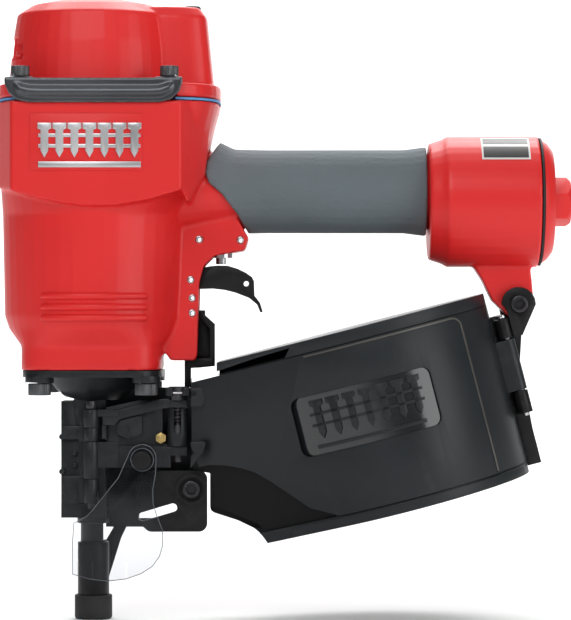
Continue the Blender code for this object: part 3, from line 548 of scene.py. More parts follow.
def makeGrip():
    sleeve = copyNode("handle_grip", "grip_sleeve")
    sleeve = joinAll([sleeve, addRod((-18, 0, 217.4), (70.4, 0, 217.4), 19.0, 48)], "grip_sleeve")
    castSkin(sleeve, grip["voxel"], grip["passes"])
    dress(sleeve, "gripRubber", "tool_body", "handle_grip", slot="grip_rubber")


def makeRearEnd():
    rearCap = copyNode("end_cap", "rear_cap")
    x, z, across = 145.0, housing["rearZ"], 12.7
    chamfer = addBlock((x - 3, -20, z - 20), (x + 1, 20, z + 20))
    boolean(chamfer, addRod((x - 4, 0, z), (x + 2, 0, z), across + 1.4, 64, radiusEnd=across - 3.6))
    boolean(rearCap, chamfer)
    roundEdges(rearCap, 0.7, 20, 3)
    dress(rearCap, "redCoat", "tool_body", "end_cap", slot="red_coat")


# socket head screw with a knurled rim, a chamfer and a six-sided socket
def makeSocketHead(name, centre, axis, radius, height, socket, material, body, node):
    deselectAll()
    along = Vector(axis)
    turn = Vector((0, 0, 1)).rotation_difference(along)
    bpy.ops.mesh.primitive_cylinder_add(vertices=72, radius=radius * mm, depth=height * mm,
                                        location=Vector(centre) * mm + along * height * mm / 2)
    head = bpy.context.object
    head.name = name
    for vertex in head.data.vertices:
        step = round(math.atan2(vertex.co.y, vertex.co.x) / (2 * math.pi) * 72)
        if step % 2:
            vertex.co.x *= 0.955
            vertex.co.y *= 0.955
    head.rotation_euler = turn.to_euler()
    settle(head)
    bevel = head.modifiers.new("rim", "BEVEL")
    bevel.width = 0.35 * mm
    bevel.segments = 2
    bevel.limit_method = "ANGLE"
    bevel.angle_limit = math.radians(60)
    applyModifiers(head)
    top = Vector(centre) + along * (height + 1)
    deep = Vector(centre) + along * (height * 0.42)
    boolean(head, addRod(deep, top, socket, 6))
    rim = Vector(centre) + along * (height - 0.5)
    boolean(head, addRod(rim, top, socket * 0.9, 24, radiusEnd=socket * 1.6))
    smoothByAngle(head, 24)
    return dress(head, material, body, node, slot="dark_steel")


def makeScrews():
    places = [(x, side * screws["capY"]) for side in (-1, 1) for x in screws["capX"]]
    for number, (x, y) in enumerate(places, start=1):
        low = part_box(f"cap_screw_{number}")[1].z / mm - screws["capHead"]
        makeSocketHead(f"cap_screw_head_{number}", (x, y, low), (0, 0, 1), 4.7, screws["capHead"], 2.7,
                       "screwSteel", "tool_body", f"cap_screw_{number}")
    places = [(x, side * screws["boltY"]) for side in (-1, 1) for x in screws["boltX"]]
    for number, (x, y) in enumerate(places, start=1):
        makeSocketHead(f"nose_bolt_head_{number}", (x, y, screws["boltZ"]), (0, 0, -1), 5.8, 5.9, 3.4,
                       "screwSteel", "tool_body", f"nose_bolt_{number}")
    makeSocketHead("bracket_bolt_head", (-47.4, -17.3, 66.8), (0, -1, 0), 4.4, 4.5, 2.5, "phosphateSteel",
                   "tool_body", "bracket_bolt")
    makeSocketHead("arm_bolt_head", (118.1, -11.3, 160.1), (0, -1, 0), 4.4, 4.1, 2.5, "phosphateSteel",
                   "tool_body", "arm_bolt")


# spring pins are rolled tubes, so both ends show a bore
pins = dict(nodes=("trigger_pin", "valve_pin_1", "valve_pin_2", "guide_pin_1", "guide_pin_2"), bore=0.85)


def makePins():
    for node in pins["nodes"]:
        pin = copyNode(node, f"{node}_tube")
        low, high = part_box(node)
        x, z = (low.x + high.x) / 2 / mm, (low.z + high.z) / 2 / mm
        boolean(pin, addRod((x, -60, z), (x, 60, z), pins["bore"], 20))
        roundEdges(pin, 0.18, 40, 2)
        dress(pin, "brightSteel", "tool_body", node, slot="bright_steel")


# guard bar: an outer lip with a rounded ridge in front, both turned up to the screw feet
guard = dict(lip=((-138.6, 271.6), (-138.4, 268.4), (-136.4, 263.8), (-132.4, 260.6), (-126.6, 259.4),
                  (-62.2, 259.4), (-56.4, 260.8), (-52.4, 264.6), (-50.9, 269.0), (-50.7, 271.6)),
             ridge=((-133.6, -47.4, 271.2), (-133.0, -49.4, 268.6), (-130.6, -50.6, 266.0),
                    (-126.4, -51.0, 264.9), (-121.0, -51.0, 264.7), (-67.0, -51.0, 264.7),
                    (-61.6, -51.0, 265.0), (-57.8, -50.6, 266.4), (-55.8, -49.4, 268.8),
                    (-55.4, -47.4, 271.2)),
             ridgeRadius=2.85, lipNear=50.0, lipFar=52.0, footNear=39.6, footFar=51.0, footHalf=6.6, bore=3.3,
             voxel=0.55, passes=3)


def makeGuards():
    for side, name in ((-1, "near"), (1, "far")):
        near, far = sorted((side * guard["lipNear"], side * guard["lipFar"]))
        parts = [addPlate(guard["lip"], near, far)]
        path = [(x, -side * y, z) for x, y, z in guard["ridge"]]
        for start, end in zip(path, path[1:]):
            parts.append(addRod(start, end, guard["ridgeRadius"], 24))
        for place in path:
            parts.append(addBall(Vector(place) * mm, guard["ridgeRadius"], 24, 12))
        near, far = sorted((side * guard["footNear"], side * guard["footFar"]))
        for x in screws["capX"]:
            parts.append(addBlock((x - guard["footHalf"], near, 270.2), (x + guard["footHalf"], far, 272.2)))
        bar = castSkin(joinAll(parts, f"guard_bar_{name}"), guard["voxel"], guard["passes"])
        for x in screws["capX"]:
            y = side * screws["capY"]
            boolean(bar, addRod((x, y, 255), (x, y, 280), guard["bore"], 24))
        smoothByAngle(bar, 50)
        dress(bar, "guardSteel", "tool_body", f"wear_guard_{name}", slot="dark_steel")


# silver plate with a generic picture of collated nails above a rule, on a red sunken ground
badge = dict(nails=7, left=-122.4, right=-70.8, top=249.4, wire=0.9)


def makeBadge():
    low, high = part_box("badge")
    near, back = low.y / mm, high.y / mm
    ground = addBlock((low.x / mm, near + 0.90, low.z / mm), (high.x / mm, back, high.z / mm), "badge_ground")
    roundEdges(ground, 0.4)
    dress(ground, "redCoat", "tool_body", "badge", slot="silver_badge")
    parts = [addBlock((badge["left"] + 0.5, near, 227.4), (badge["right"] - 0.5, near + 0.94, 230.3))]
    pitch = (badge["right"] - badge["left"] - 7.2) / (badge["nails"] - 1)
    for count in range(badge["nails"]):
        x = badge["left"] + 3.6 + count * pitch
        top = badge["top"]
        parts.append(addPlate([(x - 3.4, top), (x - 3.4, top - 2.9), (x - 1.9, top - 3.5), (x - 1.9, 235.6),
                               (x, 232.2), (x + 1.9, 235.6), (x + 1.9, top - 3.5), (x + 3.4, top - 2.9),
                               (x + 3.4, top)], near, near + 0.94))
    for height in (243.2, 238.0):
        parts.append(addBlock((badge["left"] + 0.6, near + 0.12, height - badge["wire"]),
                              (badge["right"] - 0.6, near + 0.9, height + badge["wire"])))
    emblem = roundEdges(joinAll(parts, "badge_emblem"), 0.16, 30, 2)
    dress(emblem, "badgeSilver", "tool_body", slot="silver_badge")


makeHousing()
makeRibs()
makeCap()
makeGrip()
makeRearEnd()
makeScrews()
makePins()
makeGuards()
makeBadge()
print("castings, grip, guards and badge made")


# steel pieces that keep their CAD shape get rounded edges and a worn finish
def makeSteelPieces():
    plain = {"feed_door": ("door_casting", 0.45, "castBlack", "door", "black_oxide"),
             "door_hinge_pin": ("door_pin", 0.3, "phosphateSteel", "tool_body", "dark_steel"),
             "magazine_arm": ("arm_casting", 0.6, "oxideSteel", "tool_body", "black_oxide"),
             "work_contact": ("contact_arm", 0.35, "oxideSteel", "contact", "black_oxide"),
             "safety_linkage": ("linkage_strip", 0.3, "oxideSteel", "contact", "black_oxide"),
             "feed_cylinder": ("feed_housing", 0.5, "oxideSteel", "tool_body", "black_oxide"),
             "trigger": ("trigger_lever", 0.5, "oxideSteel", "trigger", "black_oxide"),
             "cover_hinge_pin": ("cover_pin", 0.3, "brightSteel", "tool_body", "bright_steel"),
             "feed_pawl": ("pawl", 0.3, "phosphateSteel", "feeder", "dark_steel"),
             "nose_tip_cap": ("tip_sleeve", 0.5, "blackRubber", "contact", "black_rubber"),
             "cap_plug": ("plug_head", 0.3, "phosphateSteel", "tool_body", "dark_steel")}
    for node, (name, width, material, body, slot) in plain.items():
        piece = roundEdges(copyNode(node, name), width)
        dress(piece, material, body, node, slot=slot)


makeSteelPieces()


# nose: the casting trimmed under its dome, with clamp blocks and ribs on the column
nose = dict(ribDepths=(-12.6, 12.6), ribHeights=(99.6, 95.4, 93.0, 75.4, 62.0), column=(-113.2, -103.6))


def makeNose():
    casting = copyNode("nose_body", "nose_casting")
    under = [(-130, 110.9), (-107.6, 110.9), (-106.9, 112.2), (-111.5, 113.4), (-116.2, 117.0),
             (-118.6, 120.6), (-130, 121)]
    boolean(casting, addPlate(under, -40, 40))
    boolean(casting, addBlock((-75, 7, 50.4), (-52, 12, 60.5)))
    roundEdges(casting, 0.5)
    dress(casting, "castBlack", "tool_body", "nose_body", slot="black_oxide")
    left, right = nose["column"]
    blocks = [addBlock((left, -14.6, 91.7), (-99.8, -11, 98.6)),
              addBlock((left, -14.2, 59.0), (-99.6, -11, 73.4)),
              addBlock((left, -13.6, 99.0), (right - 0.4, -11, 106.4)),
              addBlock((left, -13.2, 73.0), (right, -11, 92.0)),
              addRod((-98.0, 0, 48.7), (-98.0, 0, 57.6), 8.2, 40)]
    near, far = nose["ribDepths"]
    for height in nose["ribHeights"]:
        blocks.append(addRod((-113.0, near - 1.2, height), (-113.0, far, height), 1.5, 20))
        blocks.append(addRod((-113.0, near - 1.6, height), (-99.9, near - 1.6, height), 1.0, 16))
    for x, z in ((-106.6, 84.8), (-106.6, 78.6)):
        blocks.append(addRod((x, -13.9, z), (x, -11, z), 1.3, 20))
    clamp = roundEdges(joinAll(blocks, "nose_clamp"), 0.45, 30, 2)
    boolean(clamp, addRod((-98.0, 0, 40), (-98.0, 0, 60), 6.7, 40))
    dress(clamp, "castBlack", "tool_body", slot="black_oxide")


latch = dict(place=(-54.3, -16.0))


# door: lower bar with a hole, slanted arm, riveted plate, nut and the slotted guide tube of the latch
def makeDoorDetails():
    bar = addBlock((-93.2, -20.4, 78.2), (-62.0, -16.2, 88.6), "door_bar")
    boolean(bar, addRod((-88.7, -30, 83.0), (-88.7, -10, 83.0), 2.85, 32))
    boolean(bar, addRod((-72.4, -30, 81.0), (-72.4, -10, 81.0), 3.6, 32))
    roundEdges(bar, 1.2, 30, 4)
    pieces = [bar, addPlate([(-92.0, 99.2), (-92.0, 106.0), (-84.4, 106.6), (-64.3, 112.0), (-58.4, 112.2),
                             (-58.4, 107.8), (-61.6, 107.6), (-83.4, 102.2), (-86.0, 99.2)], -20.2, -16.2)]
    pieces.append(addPlate([(-84.6, 99.6), (-84.6, 94.6), (-79.4, 92.2), (-72.3, 94.8), (-72.3, 104.2),
                            (-83.4, 101.4)], -18.6, -16.2))
    pieces.append(addPlate([(-92.4, 92.2), (-92.4, 99.0), (-90.2, 99.0), (-90.2, 92.2)], -19.6, -16.2))
    pieces.append(addRod((-81.4, -19.3, 97.0), (-81.4, -16.2, 97.0), 2.5, 32))
    pieces.append(addBlock((-62.6, -20.0, 78.2), (-57.8, -16.2, 88.4)))
    details = joinAll(pieces, "door_details")
    roundEdges(details, 0.35, 35, 2)
    dress(details, "castBlack", "door", slot="black_oxide")
    nut = addRod((-62.8, -19.8, 92.6), (-62.8, -16.2, 92.6), 2.9, 6, "door_nut")
    nut = joinAll([nut, addRod((-62.8, -21.2, 92.6), (-62.8, -16.2, 92.6), 1.5, 24)], "door_nut")
    roundEdges(nut, 0.3, 30, 2)
    dress(nut, "brassNut", "door", slot="dark_steel")
    # open-fronted tube that the latch slides in
    x, y = latch["place"]
    tube = addRod((x, y, 88.5), (x, y, 107.6), 5.3, 48, "latch_guide")
    boolean(tube, addRod((x, y, 80), (x, y, 120), 4.25, 48))
    slot = addBlock((x - 1.8, y - 8, 96.6), (x + 1.8, y, 120))
    boolean(slot, addRod((x, y - 8, 96.6), (x, y, 96.6), 1.8, 24), "UNION")
    boolean(tube, slot)
    roundEdges(tube, 0.3, 30, 2)
    dress(tube, "castBlack", "door", slot="black_oxide")


# latch plunger with a slotted collar on its head
def makeLatch():
    x, y = latch["place"]
    plunger = copyNode("door_latch", "latch_plunger")
    roundEdges(plunger, 0.4)
    dress(plunger, "phosphateSteel", "latch", "door_latch", slot="dark_steel")
    collar = addBlock((x - 6.0, y - 5.4, 113.7), (x + 6.4, y + 3.0, 118.2), "latch_collar")
    boolean(collar, addBlock((x - 2.3, y - 8, 112), (x + 2.3, y - 3.4, 120)))
    roundEdges(collar, 0.9, 30, 3)
    dress(collar, "castBlack", "latch", slot="dark_steel")
    pin = addRod((x - 2.3, y - 4.4, 115.4), (x + 2.3, y - 4.4, 115.4), 0.55, 16, "latch_cross_pin")
    dress(pin, "brightSteel", "latch", slot="dark_steel")


# track bracket: rounded plate with a slanted slot and a ring round its sunken screw
def makeBracket():
    outline = [(-75.5, 51.0), (-69.0, 45.3), (-39.5, 45.3), (-39.5, 76.0), (-69.0, 76.0), (-75.5, 68.0)]
    plate = addPlate(roundedOutline(outline, 4.2, 8), -17.0, -14.0, "bracket_plate")
    start, end = Vector((-72.0, 52.9)), Vector((-56.8, 57.4))
    across = Vector((start.y - end.y, end.x - start.x)).normalized() * 2.15
    slot = addPlate([tuple(start + across), tuple(start - across), tuple(end - across), tuple(end + across)],
                    -25, 0)
    for place in (start, end):
        boolean(slot, addRod((place.x, -25, place.y), (place.x, 0, place.y), 2.15, 28), "UNION")
    boolean(plate, slot)
    ring = addRod((-47.4, -18.7, 66.8), (-47.4, -15.0, 66.8), 7.9, 56)
    boolean(ring, addRod((-47.4, -19.6, 66.8), (-47.4, -17.1, 66.8), 6.2, 48))
    plate = joinAll([plate, ring, addBlock((-56.0, -14.6, 45.4), (-46.0, 7.7, 49.4))], "bracket_plate")
    roundEdges(plate, 0.5, 30, 3)
    dress(plate, "oxideSteel", "tool_body", "magazine_bracket", slot="black_oxide")


# clear sheet: bends back round the nose on its left, with slits at its lower edge, and a pale rim round its
# edges as a painted highlight
shield = dict(near=-24.6, far=-23.6, bendFrom=-97.5, bend=0.006)


def insetOutline(points, distance):
    moved = []
    for index, point in enumerate(points):
        here, back = Vector(point), Vector(points[index - 1])
        ahead = Vector(points[(index + 1) % len(points)])
        along = ((here - back).normalized() + (ahead - here).normalized()).normalized()
        moved.append(tuple(here + Vector((-along.y, along.x)) * distance))
    return moved


def bendSheet(piece):
    for vertex in piece.data.vertices:
        past = max(0.0, shield["bendFrom"] - vertex.co.x / mm)
        vertex.co.y += past * past * shield["bend"] * mm
        vertex.co.y += math.sin((vertex.co.z / mm - 20) / 68 * math.pi) * -0.7 * mm
    return piece


def makeShield():
    arc = [(-71.9 + 7.2 * math.cos(math.radians(a)), 82.6 + 7.2 * math.sin(math.radians(a)))
           for a in range(-8, 153, 16)]
    outline = [(-107.0, 24.4), (-98.0, 21.9), (-89.2, 20.9), (-80.0, 22.0), (-72.5, 24.6), (-66.6, 28.4),
               (-63.0, 33.4), (-61.4, 39.0), (-61.6, 47.0), (-64.4, 54.0), (-66.2, 60.0), (-66.4, 67.0),
               (-65.0, 75.0),
               *arc, (-84.0, 73.0), (-96.8, 57.0), (-99.8, 53.8), (-106.4, 50.2), (-107.1, 40.0)]
    near, far = shield["near"], shield["far"]
    sheet = addPlate(outline, near, far, "shield_sheet")
    for x, top in ((-104.0, 31.4), (-96.6, 31.0), (-79.8, 29.6)):
        boolean(sheet, addBlock((x - 0.3, -30, 15), (x + 0.3, -20, top)))
        boolean(sheet, addRod((x, -30, top), (x, -20, top), 0.7, 20))
    boolean(sheet, addRod((-72.4, -30, 81.0), (-72.4, -20, 81.0), 1.9, 32))
    sliceAlong(sheet, (1, 0, 0), [-106.2 + step * 1.1 for step in range(14)])
    sliceAlong(sheet, (0, 0, 1), [25 + step * 5.6 for step in range(11)])
    bendSheet(sheet)
    smoothByAngle(sheet, 30)
    dress(sheet, "clearSheet", "door", "nail_shield", slot="clear_plastic")
    # pale band just inside the sheet's outline and round the button hole: painted highlight on the clear
    # edges
    rim = addPlate(outline, near + 0.1, far - 0.1, "shield_rim")
    boolean(rim, addPlate(insetOutline(outline, 0.38), -30, -20))
    rims = [rim, addRod((-71.9, near + 0.1, 82.0), (-71.9, far - 0.1, 82.0), 5.9, 48)]
    boolean(rims[1], addRod((-71.9, -30, 82.0), (-71.9, -20, 82.0), 5.5, 48))
    rim = bendSheet(joinAll(rims, "shield_rim"))
    smoothByAngle(rim, 30)
    dress(rim, "paintedEdgeHighlight", "door", slot="clear_plastic")
    button = addRod((-72.2, -27.4, 81.6), (-72.2, -24.9, 81.6), 4.9, 48, "shield_button_head")
    stem = addRod((-72.4, -25.4, 81.0), (-72.4, -12.0, 81.0), 1.6, 24)
    button = joinAll([button, stem], "shield_button_head")
    roundEdges(button, 0.8, 30, 3)
    dress(button, "oxideSteel", "door", "shield_button", slot="black_oxide")


# black plate beside the safety linkage, and a plain blank sticker on the rear barrel
sticker = dict(left=98.6, right=123.0, radius=33.35)


def makeSmallPieces():
    side = addPlate([(-46.0, 127.4), (-46.0, 157.0), (-41.0, 157.0), (-41.0, 151.5), (-36.4, 147.0),
                     (-36.4, 128.4)], 3.6, 6.6, "linkage_plate")
    roundEdges(side, 0.5, 30, 2)
    dress(side, "oxideSteel", "tool_body", slot="black_oxide")
    x, rear, radius = sticker["left"], housing["rearZ"], sticker["radius"]
    for name, low, high, grow, material in (("sticker_ground", 232.6, 244.2, 0.0, "stickerWhite"),
                                            ("sticker_head", 241.0, 243.7, 0.12, "stickerBlack"),
                                            ("sticker_foot", 233.6, 239.4, 0.12, "stickerBlack")):
        inset = 0.0 if name == "sticker_ground" else 0.9
        patch = addBlock((x + inset, -40, low), (sticker["right"] - inset, -8, high), name)
        start, end = (x - 5, 0, rear), (sticker["right"] + 5, 0, rear)
        boolean(patch, addRod(start, end, radius + grow, 160), "INTERSECT")
        boolean(patch, addRod(start, end, radius - 0.35, 160))
        smoothByAngle(patch, 30)
        dress(patch, material, "tool_body", slot="red_coat")


makeNose()
makeDoorDetails()
makeLatch()
makeBracket()
makeShield()
makeSmallPieces()
print("steel pieces, door and shield made")


# drum magazine, modelled in its own axes: u along the drum's floor, w up its post
drum = dict(centre=(55.8, 0, 103.5), tilt=14.5, axisU=-6.0, coverRadius=65.94, shellRadius=65.0, wall=2.6,
            throatU=-108.0, throatHalf=17.0, coverLow=-38.6, coverHigh=42.5, shellLow=-44.5, shellHigh=48.9,
            parting=-4.0, bandFrom=42.8, bandStep=0.9, recessDepth=1.1, lipRise=0.9, setBack=3.4, steps=88,
            hinge=(64.4, -8), corner=5)


def drumOutline(radius, half):
    across = drum["axisU"] - drum["throatU"]
    start = math.pi - math.atan2(half, across) - math.acos(radius / math.hypot(across, half))
    turns = [start * (1 - 2 * step / drum["steps"]) for step in range(drum["steps"] + 1)]
    arc = [(drum["axisU"] + radius * math.cos(a), radius * math.sin(a)) for a in turns]
    return arc + [(drum["throatU"], -half), (drum["throatU"], half)]


def toDrum(x, z):
    tilt = math.radians(drum["tilt"])
    dx, dz = x - drum["centre"][0], z - drum["centre"][2]
    return dx * math.cos(tilt) + dz * math.sin(tilt), dz * math.cos(tilt) - dx * math.sin(tilt)


def tiltIn(piece):
    piece.rotation_euler = (0, -math.radians(drum["tilt"]), 0)
    piece.location = Vector(drum["centre"]) * mm
    return settle(piece)


# everything within an outline given in the tool's own X and Z
def addSeen(outline):
    return addPlate([toDrum(x, z) for x, z in outline], -90, 90)


def coverSeen(grow):
    wave = [(-43.4, 78.2), (-38.0, 79.4), (-30.0, 79.3), (-22.0, 78.2), (-15.0, 76.2), (-7.7, 72.2),
            (2.0, 66.0), (12.0, 59.4)]
    low, high = drum["coverLow"] - grow, drum["coverHigh"] + grow
    front = [toDrum(-47.2 - grow, 121.0), toDrum(-47.2 - grow, 86.0)]
    edge = [toDrum(x, z - grow) for x, z in wave]
    return front + edge + [(-40.0, low), (80.0, low), (80.0, high), (toDrum(-47.2, 121.0)[0], high)]


# a patch of the drum's curved wall between two radii, cut to an outline seen from the side
def wallPatch(outline, inner, outer, name="patch"):
    patch = addPlate(outline, -80, 0, name)
    low = (drum["axisU"], 0, -70)
    high = (drum["axisU"], 0, 70)
    boolean(patch, addRod(low, high, inner, 240))
    if outer:
        boolean(patch, addRod(low, high, outer, 240), "INTERSECT")
    return patch


# narrow band that follows the raised panel's top edge, its corner and its right edge
def creaseOutline(inset):
    edge, top, width = drum["bandFrom"] - 0.6 - inset, 41.9 - inset, 1.1 - 2 * inset
    bend = drum["corner"]
    bends = [math.radians(15 * step) for step in range(7)]
    outer = [(edge - bend + bend * math.sin(a), top - bend + bend * math.cos(a)) for a in bends]
    inner = [(edge - bend + (bend - width) * math.sin(a), top - bend + (bend - width) * math.cos(a))
             for a in reversed(bends)]
    return [(-38.0 + inset, top), *outer, (edge, -37.6 + inset), (edge - width, -37.6 + inset), *inner,
            (-38.0 + inset, top - width)]


recessCorners = [(-50.0, 22.3), (-50.4, -7.4), (20.4, -7.4), (20.4, 22.3)]


def makeCover():
    radius, wall = drum["coverRadius"], drum["wall"]
    cover = addSlab(drumOutline(radius, 18.0), drum["coverLow"], drum["coverHigh"], "drum_cover")
    boolean(cover, addPlate(coverSeen(0.0), -90, drum["parting"] - 0.4), "INTERSECT")
    boolean(cover, addSlab(drumOutline(radius - wall, 18.0 - wall), -60, 60))
    edge = drum["bandFrom"]
    corner = [(edge - 5 + 5 * math.sin(a), 37.2 + 5 * math.cos(a)) for a in
              [math.radians(90 - 15 * step) for step in range(7)]]
    boolean(cover, wallPatch([(edge, -60), *corner, (edge - 5, 60), (80, 60), (80, -60)],
                             radius - drum["bandStep"], None))
    boolean(cover, wallPatch(roundedOutline(recessCorners, 4.5), radius - drum["recessDepth"], None))
    boolean(cover, wallPatch(creaseOutline(0.0), radius - 0.5, None))
    hinge = drum["hinge"]
    boolean(cover, addRod((*hinge, -60), (*hinge, 60), 4.2, 40))
    tiltIn(cover)
    roundEdges(cover, 0.45, 24, 3)
    strap = addBlock((56.0, -11.7, -3.0), (64.4, -6.2, 23.0), "drum_cover_hinge")
    knuckle = boolean(strap, addRod((*hinge, -3.0), (*hinge, 23.0), 3.8, 40), "UNION")
    boolean(knuckle, addRod((*hinge, -60), (*hinge, 60), 1.9, 24))
    tiltIn(knuckle)
    roundEdges(knuckle, 0.4, 30, 2)
    dress(knuckle, "blackPlastic", "cover", slot="black_plastic")
    dress(cover, "blackPlastic", "cover", "canister_cover", slot="black_plastic")


# the sunken glossy panel with a raised generic picture of collated nails and a rule
def makeCoverPanel():
    floor = drum["coverRadius"] - drum["recessDepth"]
    inset = [(-49.7, 22.0), (-50.1, -7.1), (20.1, -7.1), (20.1, 22.0)]
    plate = wallPatch(roundedOutline(inset, 4.2), floor - 0.3, floor + 0.12, "cover_panel")
    shapes = [[(-42.0, -2.6), (-42.0, -4.4), (13.0, -4.4), (13.0, -2.6)]]
    for count in range(7):
        u = -38.0 + count * 8.2
        shapes.append([(u - 3.2, 19.6), (u - 3.2, 17.0), (u - 1.7, 16.2), (u - 1.7, 3.2), (u, 0.2),
                       (u + 1.7, 3.2), (u + 1.7, 16.2), (u + 3.2, 17.0), (u + 3.2, 19.6)])
    for height in (12.6, 7.2):
        low, high = height - 0.7, height + 0.7
        shapes.append([(-42.0, high), (-42.0, low), (14.6, low), (14.6, high)])
    tiltIn(plate)
    smoothByAngle(plate, 20)
    dress(plate, "glossPlastic", "cover", slot="black_plastic")
    reliefs = [wallPatch(shape, floor + 0.02, floor + 0.85) for shape in shapes]
    relief = tiltIn(joinAll(reliefs, "cover_relief"))
    roundEdges(relief, 0.22, 30, 2)
    dress(relief, "blackPlastic", "cover", slot="black_plastic")


# lighter bead set into the groove along the panel's top and right edges: partly edge wear, partly a painted
# highlight on the edge
def makeCrease():
    radius = drum["coverRadius"]
    bead = wallPatch(creaseOutline(0.12), radius - 0.6, radius, "cover_crease")
    tiltIn(bead)
    roundEdges(bead, 0.12, 40, 2)
    dress(bead, "wornAndHighlightPlastic", "cover", slot="black_plastic")


def makeShell():
    radius, half, wall = drum["shellRadius"], drum["throatHalf"], drum["wall"]
    shell = addSlab(drumOutline(radius, half), drum["shellLow"], drum["shellHigh"], "drum_shell")
    seen = [(-34.4, 180), (140, 180), (140, 20), (-5, 20), (-7.2, 36.0), (-9, 41.0), (-11.8, 44.8),
            (-15.6, 47.9), (-24.0, 51.6), (-36, 55), (-37.6, 56.2), (-38, 58), (-38, 75), (-46.8, 76),
            (-46.8, 119.6), (-34.4, 122.8)]
    boolean(shell, addSeen(seen), "INTERSECT")
    inside = addSlab(drumOutline(radius - wall, half - wall), drum["shellLow"] + wall,
                     drum["shellHigh"] - wall)
    room = [(-80, 180), (140, 180), (140, 20), (-3, 20), (-6.6, 42.6), (-14, 50.6), (-35.4, 58), (-80, 58)]
    boolean(inside, addSeen(room), "INTERSECT")
    boolean(shell, inside)
    boolean(shell, addPlate(coverSeen(0.35), -90, drum["parting"]))
    # slit under the rim at the front, and the lip that stands out along the floor
    slit = [(-86.0, 43.1), (-47.0, 43.1), (-43.2, 47.4), (-62.0, 46.4), (-86.0, 44.4)]
    boolean(shell, addPlate(slit, -90, -8))
    region = [(-112, 7), (-70, 3), (-56, -12), (-36, -34), (-42, -38.8), (-112, -38.8)]
    setBack = drum["setBack"]
    trench = addPlate(region, -90, -8)
    boolean(trench, addSlab(drumOutline(radius - setBack, half - setBack), -60, 60))
    boolean(shell, trench)
    # set-back wall under the cover's wave edge, in a darker plastic than the shell: painted shade for the
    # shadow that falls there
    wallBehind = addPlate(region, -90, -8, "drum_front_wall")
    boolean(wallBehind, addSeen(seen), "INTERSECT")
    boolean(wallBehind, addSlab(drumOutline(radius - setBack, half - setBack), -60, 60), "INTERSECT")
    boolean(wallBehind, addSlab(drumOutline(radius - setBack - 2, half - setBack - 2), -70, 70))
    tiltIn(wallBehind)
    smoothByAngle(wallBehind, 30)
    dress(wallBehind, "paintedShadePlastic", "tool_body", slot="black_plastic")
    tiltIn(shell)
    roundEdges(shell, 0.6, 24, 3)
    dress(shell, "blackPlastic", "tool_body", "canister_shell", slot="black_plastic")
    lipPlan = drumOutline(radius + drum["lipRise"], half + 0.8)
    lip = addSlab(lipPlan, drum["shellLow"] + 0.2, -39.4, "drum_lip")
    lipSeen = [(-70.0, -60), (-64.0, -39.0), (-58.0, -38.6), (56.0, -38.6), (56.0, -60)]
    boolean(lip, addPlate(lipSeen, -90, -8), "INTERSECT")
    boolean(lip, addSlab(drumOutline(radius - 1.0, half - 1.0), -60, 60))
    boolean(lip, addSeen(seen), "INTERSECT")
    tiltIn(lip)
    roundEdges(lip, 0.5, 24, 3)
    dress(lip, "blackPlastic", "tool_body", slot="black_plastic")


# two claws at the cover's front edge
def makeClaws():
    upper = [(-47.6, 108.6), (-47.6, 113.4), (-44.8, 114.6), (-44.8, 116.0), (-47.6, 116.4), (-47.6, 118.2),
             (-40.4, 118.6), (-39.6, 117.4), (-40.8, 109.4), (-42.2, 108.6)]
    lower = [(-47.6, 77.6), (-47.6, 84.0), (-45.6, 86.0), (-47.6, 88.6), (-47.6, 91.2), (-40.6, 91.4),
             (-39.8, 90.2), (-41.0, 86.0)]
    claws = [addPlate(shape, -27.6, -25.2) for shape in (upper, lower)]
    pair = joinAll(claws, "cover_claws")
    roundEdges(pair, 0.6, 25, 3)
    dress(pair, "blackPlastic", "cover", slot="black_plastic")


makeCover()
makeCrease()
makeCoverPanel()
makeShell()
makeClaws()
print("canister made")


# remaining CAD nodes only need their finish
def finishNodes():
    bySlot = {"bright_steel": "brightSteel", "dark_steel": "phosphateSteel", "black_oxide": "oxideSteel",
              "aluminium": "machinedAluminium", "black_rubber": "blackRubber", "blue_gasket": "gasketBlue",
              "black_plastic": "blackPlastic", "clear_plastic": "clearSheet", "red_coat": "redCoat",
              "grip_rubber": "gripRubber", "silver_badge": "badgeSilver"}
    for entry in frame["record"]["subparts"]:
        piece = nodes[entry["node"]]
        piece.data.materials.clear()
        piece.data.materials.append(finish[bySlot[entry["material_slot"]]])
    nodes["latch_spring"].data.materials[0] = finish["phosphateSteel"]


finishNodes()


# pale floor that sweeps up behind the tool
studio = dict(reach=5.5, depth=5.0, bend=1.2, height=4.5, colour=(0.88, 0.88, 0.88))


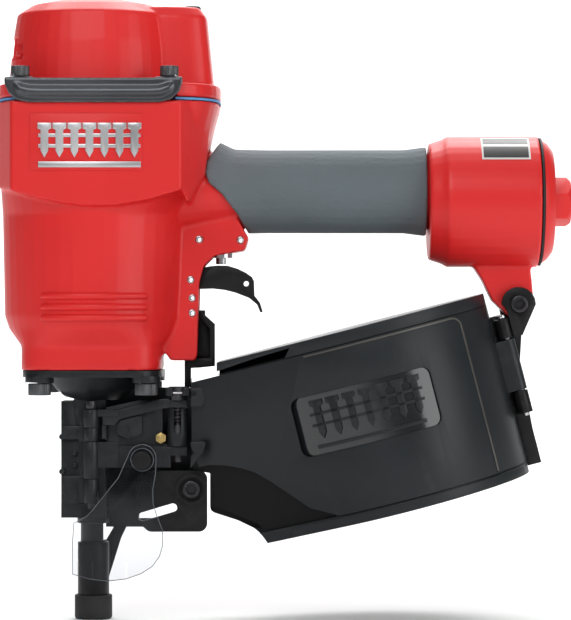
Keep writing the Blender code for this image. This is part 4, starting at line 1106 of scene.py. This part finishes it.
def makeStudio():
    deselectAll()
    bpy.ops.mesh.primitive_plane_add(size=1, location=(0, 0, 0))
    sweep = bpy.context.object
    sweep.name = "studio_floor"
    sweep.scale = (studio["reach"] * 2, studio["depth"] * 2, 1)
    settle(sweep)
    makeActive(sweep)
    bpy.ops.object.mode_set(mode="EDIT")
    bpy.ops.mesh.select_all(action="DESELECT")
    bpy.ops.object.mode_set(mode="OBJECT")
    for edge in sweep.data.edges:
        edge.select = all(sweep.data.vertices[i].co.y > studio["depth"] * 0.9 for i in edge.vertices)
    bpy.ops.object.mode_set(mode="EDIT")
    bpy.ops.mesh.select_mode(type="EDGE")
    bpy.ops.mesh.extrude_region_move(TRANSFORM_OT_translate={"value": (0, 0, studio["height"])})
    bpy.ops.object.mode_set(mode="OBJECT")
    bend = sweep.modifiers.new("bend", "BEVEL")
    bend.width = studio["bend"]
    bend.segments = 16
    applyModifiers(sweep)
    bpy.ops.object.shade_smooth()
    material = bpy.data.materials.new("studioPaper")
    material.use_nodes = True
    setInputs(material.node_tree.nodes["Principled BSDF"], Base_Color=(*studio["colour"], 1), Roughness=0.9)
    sweep.data.materials.append(material)


# soft boxes: place, size, power
lights = dict(key=((-0.3, -1.4, 1.15), 1.0, 9.5), fill=((1.3, -1.1, 0.5), 1.1, 8.5),
              top=((0.1, 0.1, 1.5), 1.4, 4.5), back=((0.2, 1.4, 0.9), 1.6, 6.0))
backdrop = dict(place=(0, 2.6, 3.6), aim=(0, 3.8, 0.0), size=3.0, power=215.0)


def makeLights():
    for name, (place, size, power) in lights.items():
        deselectAll()
        bpy.ops.object.light_add(type="AREA", location=place)
        lamp = bpy.context.object
        lamp.name = f"{name}_light"
        lamp.data.shape = "DISK"
        lamp.data.size = size
        lamp.data.energy = power
        lamp.rotation_euler = (Vector((0, 0, 0.16)) - Vector(place)).to_track_quat("-Z", "Y").to_euler()
    deselectAll()
    bpy.ops.object.light_add(type="AREA", location=backdrop["place"])
    wash = bpy.context.object
    wash.name = "backdrop_light"
    wash.data.size = backdrop["size"]
    wash.data.energy = backdrop["power"]
    aim = Vector(backdrop["aim"]) - Vector(backdrop["place"])
    wash.rotation_euler = aim.to_track_quat("-Z", "Y").to_euler()
    world = bpy.data.worlds.new("studioAir")
    bpy.context.scene.world = world
    world.use_nodes = True
    world.node_tree.nodes["Background"].inputs["Color"].default_value = (1, 1, 1, 1)
    world.node_tree.nodes["Background"].inputs["Strength"].default_value = 0.16


view = dict(distance=1.5, height=0.1571, frameHeight=0.3162, sensor=36)


def makeCamera():
    deselectAll()
    bpy.ops.object.camera_add(location=(0, -view["distance"], view["height"]),
                              rotation=(math.pi / 2, 0, 0))
    camera = bpy.context.object
    camera.name = "viewCamera"
    camera.data.sensor_width = view["sensor"]
    camera.data.lens = view["sensor"] * view["distance"] / view["frameHeight"]
    bpy.context.scene.camera = camera
    bpy.context.scene.view_settings.view_transform = "Standard"


makeStudio()
makeLights()
makeCamera()
